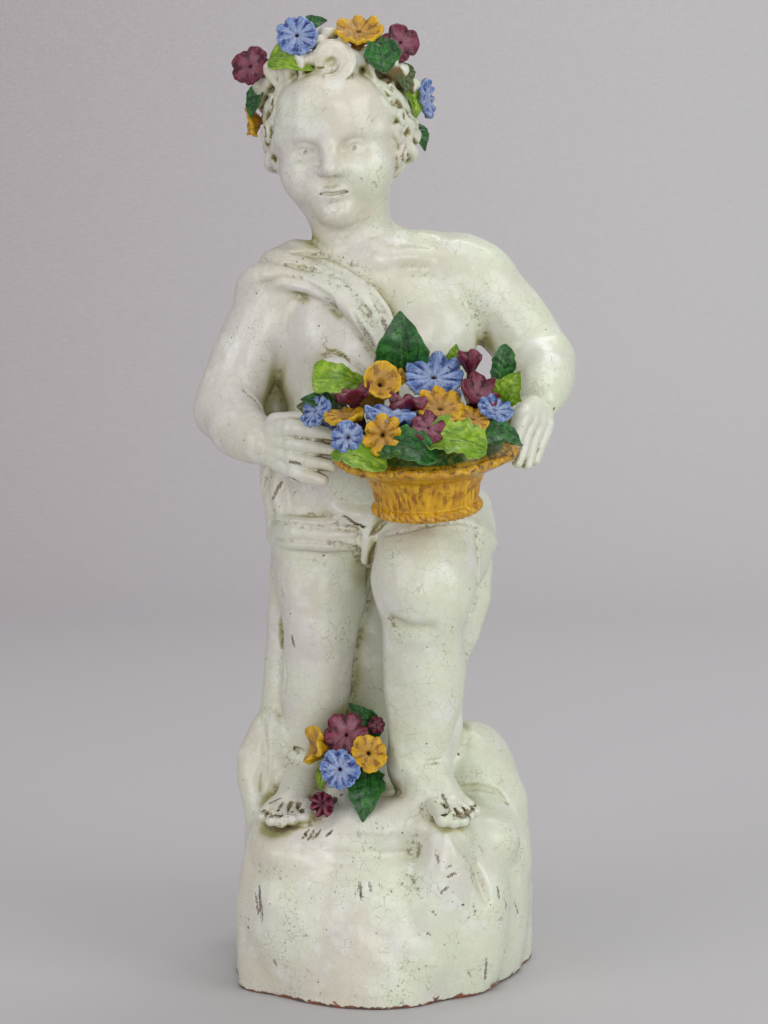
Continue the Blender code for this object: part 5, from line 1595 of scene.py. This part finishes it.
def white_glaze():
    """Thick tin glaze: milky, greenish where it pooled, crackled, with dirt in every hollow; painted shade in
    the wider hollows and a painted light tint on the right.
    """
    p = Paint("white_tin_glaze", 0.34, 0.22)
    near, middle, wide = p.value("hollow_near"), p.value("hollow_mid"), p.value("hollow_wide")
    calm = p.ramp(p.value("face"), 0.1, 0.8, 1.0, 0.35)
    cloud = p.noise(85, 3)
    veil = p.noise(24, 4, 0.6)
    across, level = p.split(0), p.split(2)
    # The glaze is pinkish grey to cream in clouds; its greener, lighter tint towards the right is painted
    # light from that side, broken up by noise.
    colour = p.mix((0.655, 0.62, 0.515), (0.65, 0.62, 0.575), p.ramp(cloud, 0.40, 0.60))
    right_light_tint_and_tone = p.math("ADD", p.ramp(across, -0.13, 0.12), p.ramp(p.noise(60, 3), 0.3, 0.7, -0.5, 0.5))
    colour = p.mix(colour, (0.67, 0.71, 0.56), p.ramp(right_light_tint_and_tone, 0.0, 1.1))
    colour = p.mix(colour, (0.77, 0.785, 0.735), p.ramp(veil, 0.50, 0.70, 0, 0.65))
    # Glaze that ran together in the hollows is thicker and turns olive; in the wider hollows this darkening
    # is also painted shade.
    pooled_glaze_and_shade = p.math("ADD", p.ramp(wide, 0.2, 0.95, 0, 0.85), p.ramp(middle, 0.15, 0.85, 0, 0.6))
    pooled_glaze_and_shade = p.math("MULTIPLY", p.math("MULTIPLY", pooled_glaze_and_shade, calm), p.ramp(veil, 0.2, 0.7, 0.5, 1.15), clamp=True)
    colour = p.mix(colour, (0.40, 0.385, 0.17), pooled_glaze_and_shade)
    # Crackle: a net of thin lines, stronger in places.
    warp = p.warped(15, 10)
    net = p.math("MULTIPLY", p.cracks(8.5, 0.16, warp), p.ramp(p.noise(30, 2), 0.34, 0.60, 0.2, 1.0))
    colour = p.mix(colour, (0.36, 0.33, 0.27), p.math("MULTIPLY", net, 0.55))
    # Scuffed, dirty patches that break up into grains, most of them on the rock.
    grain = p.noise(2.6, 4, 0.72)
    spread = p.math("ADD", p.noise(30, 3, 0.6), p.ramp(level, 0.13, 0.2, 0.05, 0))
    patch = p.math("MULTIPLY", p.ramp(spread, 0.57, 0.70), p.ramp(grain, 0.55, 0.65))
    patch = p.math("MULTIPLY", patch, calm)
    colour = p.mix(colour, (0.20, 0.155, 0.10), p.math("MULTIPLY", patch, 0.8))
    # Pinholes and specks.
    specks = p.math("MAXIMUM", p.dots(6.5, 0.75, 0.35, p.place), p.dots(19.0, 1.6, 0.4, warp))
    colour = p.mix(colour, GRIME, p.math("MULTIPLY", p.math("MULTIPLY", specks, calm), 0.85))
    # Dirt settled in grooves, thickest where they are sharp.
    depth = p.math("ADD", p.math("MULTIPLY", near, 0.8), p.math("MULTIPLY", middle, 0.3))
    depth = p.math("ADD", depth, p.ramp(p.noise(4.5, 4, 0.7), 0.3, 0.7, -0.30, 0.30))
    dirt = p.math("MULTIPLY", p.ramp(depth, 0.42, 0.80), calm)
    colour = p.mix(colour, (0.19, 0.145, 0.085), p.math("MULTIPLY", dirt, 0.8))
    ragged = p.ramp(p.noise(2.0, 3, 0.7), 0.3, 0.7, -0.55, 0.55)
    stroke = p.ramp(p.math("ADD", p.value("ink"), ragged), 0.0, 0.7, 1, 0)
    colour = p.mix(colour, (0.13, 0.10, 0.065), p.math("MULTIPLY", stroke, 0.8))
    # The band that ties the wreath is painted brown.
    band = p.ramp(p.value("band"), 0.5, 2.2, 1, 0)
    brown = p.mix((0.16, 0.09, 0.025), (0.10, 0.11, 0.03), p.ramp(p.noise(9, 3), 0.4, 0.6))
    colour = p.mix(colour, brown, band)
    # Bare clay along the foot, and a few chips above it.
    height = p.math("ADD", level, p.ramp(p.noise(7, 4, 0.6), 0.2, 0.8, 0.0018, -0.0018))
    foot = p.ramp(height, 0.0018, 0.0028, 1, 0)
    rubbed = p.math("MULTIPLY", p.ramp(height, 0.004, 0.008, 1, 0), p.ramp(p.noise(16, 3, 0.6), 0.59, 0.63))
    clay = p.mix((0.25, 0.085, 0.04), (0.10, 0.06, 0.045), p.ramp(p.noise(11, 4), 0.45, 0.6))
    colour = p.mix(colour, clay, p.math("MAXIMUM", foot, rubbed))
    dull = p.math("MAXIMUM", p.math("MAXIMUM", dirt, foot), p.math("MAXIMUM", patch, stroke))
    roughness = p.math("ADD", p.ramp(p.noise(30, 2), 0.3, 0.7, 0.26, 0.42), p.math("MULTIPLY", dull, 0.35))
    pocks = p.math("ADD", p.math("MULTIPLY", specks, -1.0), p.math("MULTIPLY", grain, 0.12))
    relief = p.bump(p.noise(11, 3, 0.6), 0.5)
    relief = p.bump(pocks, 0.4, below=relief)
    return p.finish(colour, roughness, relief)


def petal_glaze(name, pale, full, deep, heart, rim, eye, wetness):
    """A glaze brushed along the petals, dark in the clefts, with an earthy heart round the eye."""
    p = Paint(name, wetness, 0.15, 0.3)
    petal, cleft, upper, seed = (p.value(k) for k in ("petal", "cleft", "upper", "seed"))
    along = p.join(p.math("MULTIPLY", p.value("bearing"), 5.5), p.math("MULTIPLY", petal, 1.3), seed)
    streak = p.noise(0.8, 4, 0.65, at=along)
    blot = p.noise(3.6, 4, 0.65)
    colour = p.mix(full, pale, p.ramp(streak, 0.44, 0.62))
    colour = p.mix(colour, full, p.ramp(blot, 0.52, 0.36, 0, 0.8))
    inner = p.math("MULTIPLY", p.ramp(petal, 0.85, 0.40), p.ramp(p.noise(7, 2), 0.34, 0.56, 0.5, 1.0))
    colour = p.mix(colour, heart, p.math("MULTIPLY", inner, 0.8))
    dabs = p.math("ADD", p.math("MULTIPLY", cleft, 0.20), blot)
    dabs = p.math("MULTIPLY", p.ramp(dabs, 0.56, 0.68), p.ramp(petal, 0.32, 0.6, 0.25, 1.0))
    colour = p.mix(colour, deep, p.math("MULTIPLY", dabs, 0.9))
    edge = p.math("MULTIPLY", p.ramp(petal, 0.86, 1.0), p.ramp(blot, 0.34, 0.54))
    colour = p.mix(colour, rim, p.math("MULTIPLY", edge, 0.75))
    # Painted shade: the undersides of the petals, the calyx and the stem are darkened.
    colour = p.mix(colour, p.mix(full, deep, 0.6), p.ramp(upper, 0.5, 0.1, 0, 0.8))
    # Painted shade: the pit of the eye is near black, standing for the shade inside a pierced centre.
    pit = p.math("MULTIPLY", p.ramp(petal, eye, eye * 0.6), p.ramp(upper, 0.6, 0.9))
    colour = p.mix(colour, (0.045, 0.018, 0.012), pit)
    colour = p.mix(colour, GRIME, p.math("MULTIPLY", p.dots(6.0, 1.1, 0.2, p.place), 0.7))
    roughness = p.ramp(p.noise(5, 2), 0.3, 0.7, wetness - 0.08, wetness + 0.04)
    relief = p.bump(streak, 0.5)
    relief = p.bump(blot, 0.5, below=relief)
    return p.finish(colour, roughness, relief)


def leaf_glaze(name, pale, full, deep, vein, stain, chips):
    """A glaze washed over a leaf, thin on the veins, with the clay showing at chipped edges."""
    p = Paint(name, 0.2, 0.15, 0.3)
    rib, edge = p.value("rib"), p.value("edge")
    wash = p.noise(8, 4, 0.6)
    across, down = p.math("MULTIPLY", p.value("across"), 4.0), p.math("MULTIPLY", p.value("along"), 1.6)
    along = p.join(across, down, p.value("seed"))
    streak = p.noise(0.7, 4, 0.65, at=along)
    colour = p.mix(pale, full, p.ramp(wash, 0.36, 0.56))
    colour = p.mix(colour, deep, p.ramp(streak, 0.48, 0.64, 0, 0.85))
    mottle = p.math("MULTIPLY", p.ramp(p.noise(1.5, 4, 0.7), 0.56, 0.68), p.ramp(wash, 0.6, 0.4, 0.15, 0.8))
    colour = p.mix(colour, stain, mottle)
    colour = p.mix(colour, vein, p.ramp(rib, 0.3, 0.95, 0, 0.6))
    colour = p.mix(colour, vein, p.math("MULTIPLY", p.ramp(edge, 0.93, 1.0), 0.4))
    worn = p.math("MULTIPLY", p.ramp(edge, 0.82, 0.96), p.ramp(p.noise(7, 3, 0.6), chips, chips + 0.03))
    colour = p.mix(colour, p.mix(BARE_CLAY, (0.62, 0.36, 0.27), p.noise(2, 2)), worn)
    colour = p.mix(colour, GRIME, p.math("MULTIPLY", p.dots(7.0, 1.1, 0.2, p.place), 0.7))
    roughness = p.math("ADD", p.ramp(wash, 0.3, 0.7, 0.14, 0.32), p.math("MULTIPLY", worn, 0.5))
    relief = p.bump(streak, 0.4)
    relief = p.bump(p.noise(2.4, 3), 0.4, below=relief)
    return p.finish(colour, roughness, relief)


def basket_glaze():
    """Ochre glaze with brown brushed down the flutes and into the rope."""
    p = Paint("ochre_basket_glaze", 0.2, 0.2, 0.4)
    groove, bed, level = p.value("groove"), p.value("bed"), p.value("level")
    strokes = p.noise(1.0, 4, 0.62, at=p.stretched(330, 330, 28))
    wash = p.noise(12, 3)
    colour = p.mix((0.70, 0.40, 0.014), (0.54, 0.27, 0.008), p.ramp(wash, 0.35, 0.62))
    brown = p.math("ADD", p.ramp(groove, 0.3, 0.9, 0, 0.45), p.ramp(strokes, 0.44, 0.62, 0, 1.0))
    brown = p.math("MULTIPLY", brown, p.ramp(p.noise(15, 2), 0.32, 0.60, 0.3, 1.1), clamp=True)
    brown = p.math("MULTIPLY", brown, p.ramp(level, -4, -14, 0.35, 1.0))
    colour = p.mix(colour, (0.22, 0.075, 0.005), p.math("MULTIPLY", brown, 0.85))
    colour = p.mix(colour, (0.76, 0.50, 0.05), p.ramp(p.noise(3.5, 3), 0.6, 0.72, 0, 0.4))
    lip = p.math("MULTIPLY", p.ramp(level, -6, 1), p.ramp(p.noise(4.5, 3, 0.6), 0.52, 0.60))
    colour = p.mix(colour, (0.10, 0.035, 0.01), p.math("MULTIPLY", lip, 0.8))
    shade = p.mix((0.018, 0.065, 0.010), (0.10, 0.13, 0.012), p.ramp(p.noise(5, 3), 0.42, 0.62))
    colour = p.mix(colour, shade, bed)
    roughness = p.ramp(p.noise(5, 2), 0.3, 0.7, 0.14, 0.34)
    relief = p.bump(strokes, 0.6)
    relief = p.bump(p.noise(2.8, 3), 0.4, below=relief)
    return p.finish(colour, roughness, relief)


def make_glazes():
    return {
        "white_glaze": white_glaze(),
        "ochre_glaze": basket_glaze(),
        "blue_glaze": petal_glaze(
            "blue_petal_glaze",
            pale=(0.33, 0.42, 0.63), full=(0.075, 0.15, 0.38), deep=(0.010, 0.022, 0.16),
            heart=(0.33, 0.40, 0.58), rim=(0.27, 0.36, 0.58), eye=0.12, wetness=0.20,
        ),
        "purple_glaze": petal_glaze(
            "purple_petal_glaze",
            pale=(0.26, 0.055, 0.10), full=(0.115, 0.009, 0.024), deep=(0.04, 0.002, 0.009),
            heart=(0.27, 0.10, 0.14), rim=(0.12, 0.010, 0.030), eye=0.09, wetness=0.22,
        ),
        "yellow_glaze": petal_glaze(
            "yellow_petal_glaze",
            pale=(0.66, 0.41, 0.015), full=(0.53, 0.28, 0.006), deep=(0.23, 0.10, 0.008),
            heart=(0.38, 0.20, 0.06), rim=(0.68, 0.43, 0.02), eye=0.14, wetness=0.22,
        ),
        "dark_green_glaze": leaf_glaze(
            "dark_green_leaf_glaze", (0.03, 0.16, 0.025), (0.012, 0.075, 0.013), (0.006, 0.026, 0.010),
            (0.13, 0.24, 0.08), (0.14, 0.25, 0.09), 0.70,
        ),
        "lime_green_glaze": leaf_glaze(
            "lime_green_leaf_glaze", (0.31, 0.46, 0.04), (0.15, 0.29, 0.006), (0.04, 0.13, 0.005),
            (0.38, 0.50, 0.13), (0.40, 0.50, 0.16), 0.66,
        ),
        "olive_glaze": leaf_glaze(
            "olive_leaf_glaze", (0.13, 0.18, 0.09), (0.075, 0.10, 0.025), (0.03, 0.04, 0.010),
            (0.20, 0.24, 0.13), (0.22, 0.27, 0.17), 0.66,
        ),
    }


# Studio

def backdrop_paint():
    p = Paint("backdrop_paper", 0.85, 0.0)
    upright = p.noise(1.0, 2, at=p.stretched(700, 700, 60))
    level = p.noise(1.0, 2, at=p.stretched(60, 700, 700))
    weave = p.math("MULTIPLY", upright, level)
    # Painted light: the wall is darker and pinker on the left and lighter on the right, as light falls more
    # from the right.
    wall = p.mix((0.50, 0.455, 0.475), (0.555, 0.55, 0.555), p.ramp(p.split(0), -1.4, 1.4))
    colour = p.mix(wall, (0.64, 0.63, 0.64), p.ramp(weave, 0.15, 0.4, 0, 0.45))
    colour = p.mix(colour, (0.54, 0.53, 0.54), p.ramp(p.split(1), 2.4, 0.8, 0, 0.9))
    return p.finish(colour, None, p.bump(weave, 0.2))


def add_backdrop():
    """A sheet that runs from the floor up behind the object in one sweep."""
    depth, bend, height, width = 3.4, 1.3, 4.2, 5.0
    line = [(-3.6, 0.0), (depth - bend, 0.0)]
    for k in range(1, 13):
        a = math.radians(90 * k / 12)
        line.append((depth - bend + bend * math.sin(a), bend - bend * math.cos(a)))
    line.append((depth, height))
    points = [(x / UNIT, y / UNIT, z / UNIT) for y, z in line for x in (-width, width)]
    faces = [(2 * k, 2 * k + 1, 2 * k + 3, 2 * k + 2) for k in range(len(line) - 1)]
    sheet = make_mesh("backdrop", points, faces)
    sheet.data.materials.append(backdrop_paint())


# Name, place, aim, power in watts, width and height in metres, colour.
LIGHTS = (
    ("key_softbox", (-2.2, -1.9, 1.2), (0, 0, 0.34), 24, 1.7, 2.1, (1.0, 0.975, 0.96)),
    ("right_softbox", (2.2, -1.7, 0.9), (0, 0, 0.32), 32, 1.6, 2.1, (0.985, 1.0, 0.97)),
    ("front_fill", (0.4, -3.0, 0.5), (0, 0, 0.26), 20, 1.6, 1.2, (1.0, 1.0, 1.0)),
    ("overhead", (0.2, -0.4, 2.5), (0, 0, 0.40), 12, 2.0, 2.0, (1.0, 1.0, 1.0)),
    ("wall_wash", (0.8, 1.0, 2.9), (0.5, 3.4, 0.5), 34, 2.2, 1.0, (1.0, 1.0, 1.0)),
)


def add_lights():
    for name, place, aim, power, width, height, colour in LIGHTS:
        data = bpy.data.lights.new(name, "AREA")
        data.shape = "RECTANGLE"
        data.energy, data.size, data.size_y, data.color = power, width, height, colour
        light = link(bpy.data.objects.new(name, data))
        light.location = place
        light.rotation_euler = (Vector(aim) - Vector(place)).to_track_quat("-Z", "Y").to_euler()
    world = bpy.data.worlds.new("studio_air")
    world.use_nodes = True
    air = world.node_tree.nodes["Background"]
    air.inputs["Color"].default_value = (0.93, 0.92, 0.94, 1)
    air.inputs["Strength"].default_value = 0.36
    bpy.context.scene.world = world
    bpy.context.scene.view_settings.view_transform = "Standard"


def add_camera():
    data = bpy.data.cameras.new("camera")
    data.sensor_fit = "VERTICAL"
    data.sensor_height = 36
    data.lens = data.sensor_height * FOCAL_PIXELS / FRAME_HEIGHT
    camera = link(bpy.data.objects.new("camera", data))
    camera.location = EYE * UNIT
    camera.rotation_euler = (math.radians(90) - PITCH, 0, 0)
    bpy.context.scene.camera = camera


def main():
    glazes = make_glazes()
    make_figure(glazes["white_glaze"])
    make_basket(glazes["ochre_glaze"])
    make_sprigs(glazes)
    add_backdrop()
    add_lights()
    add_camera()


main()
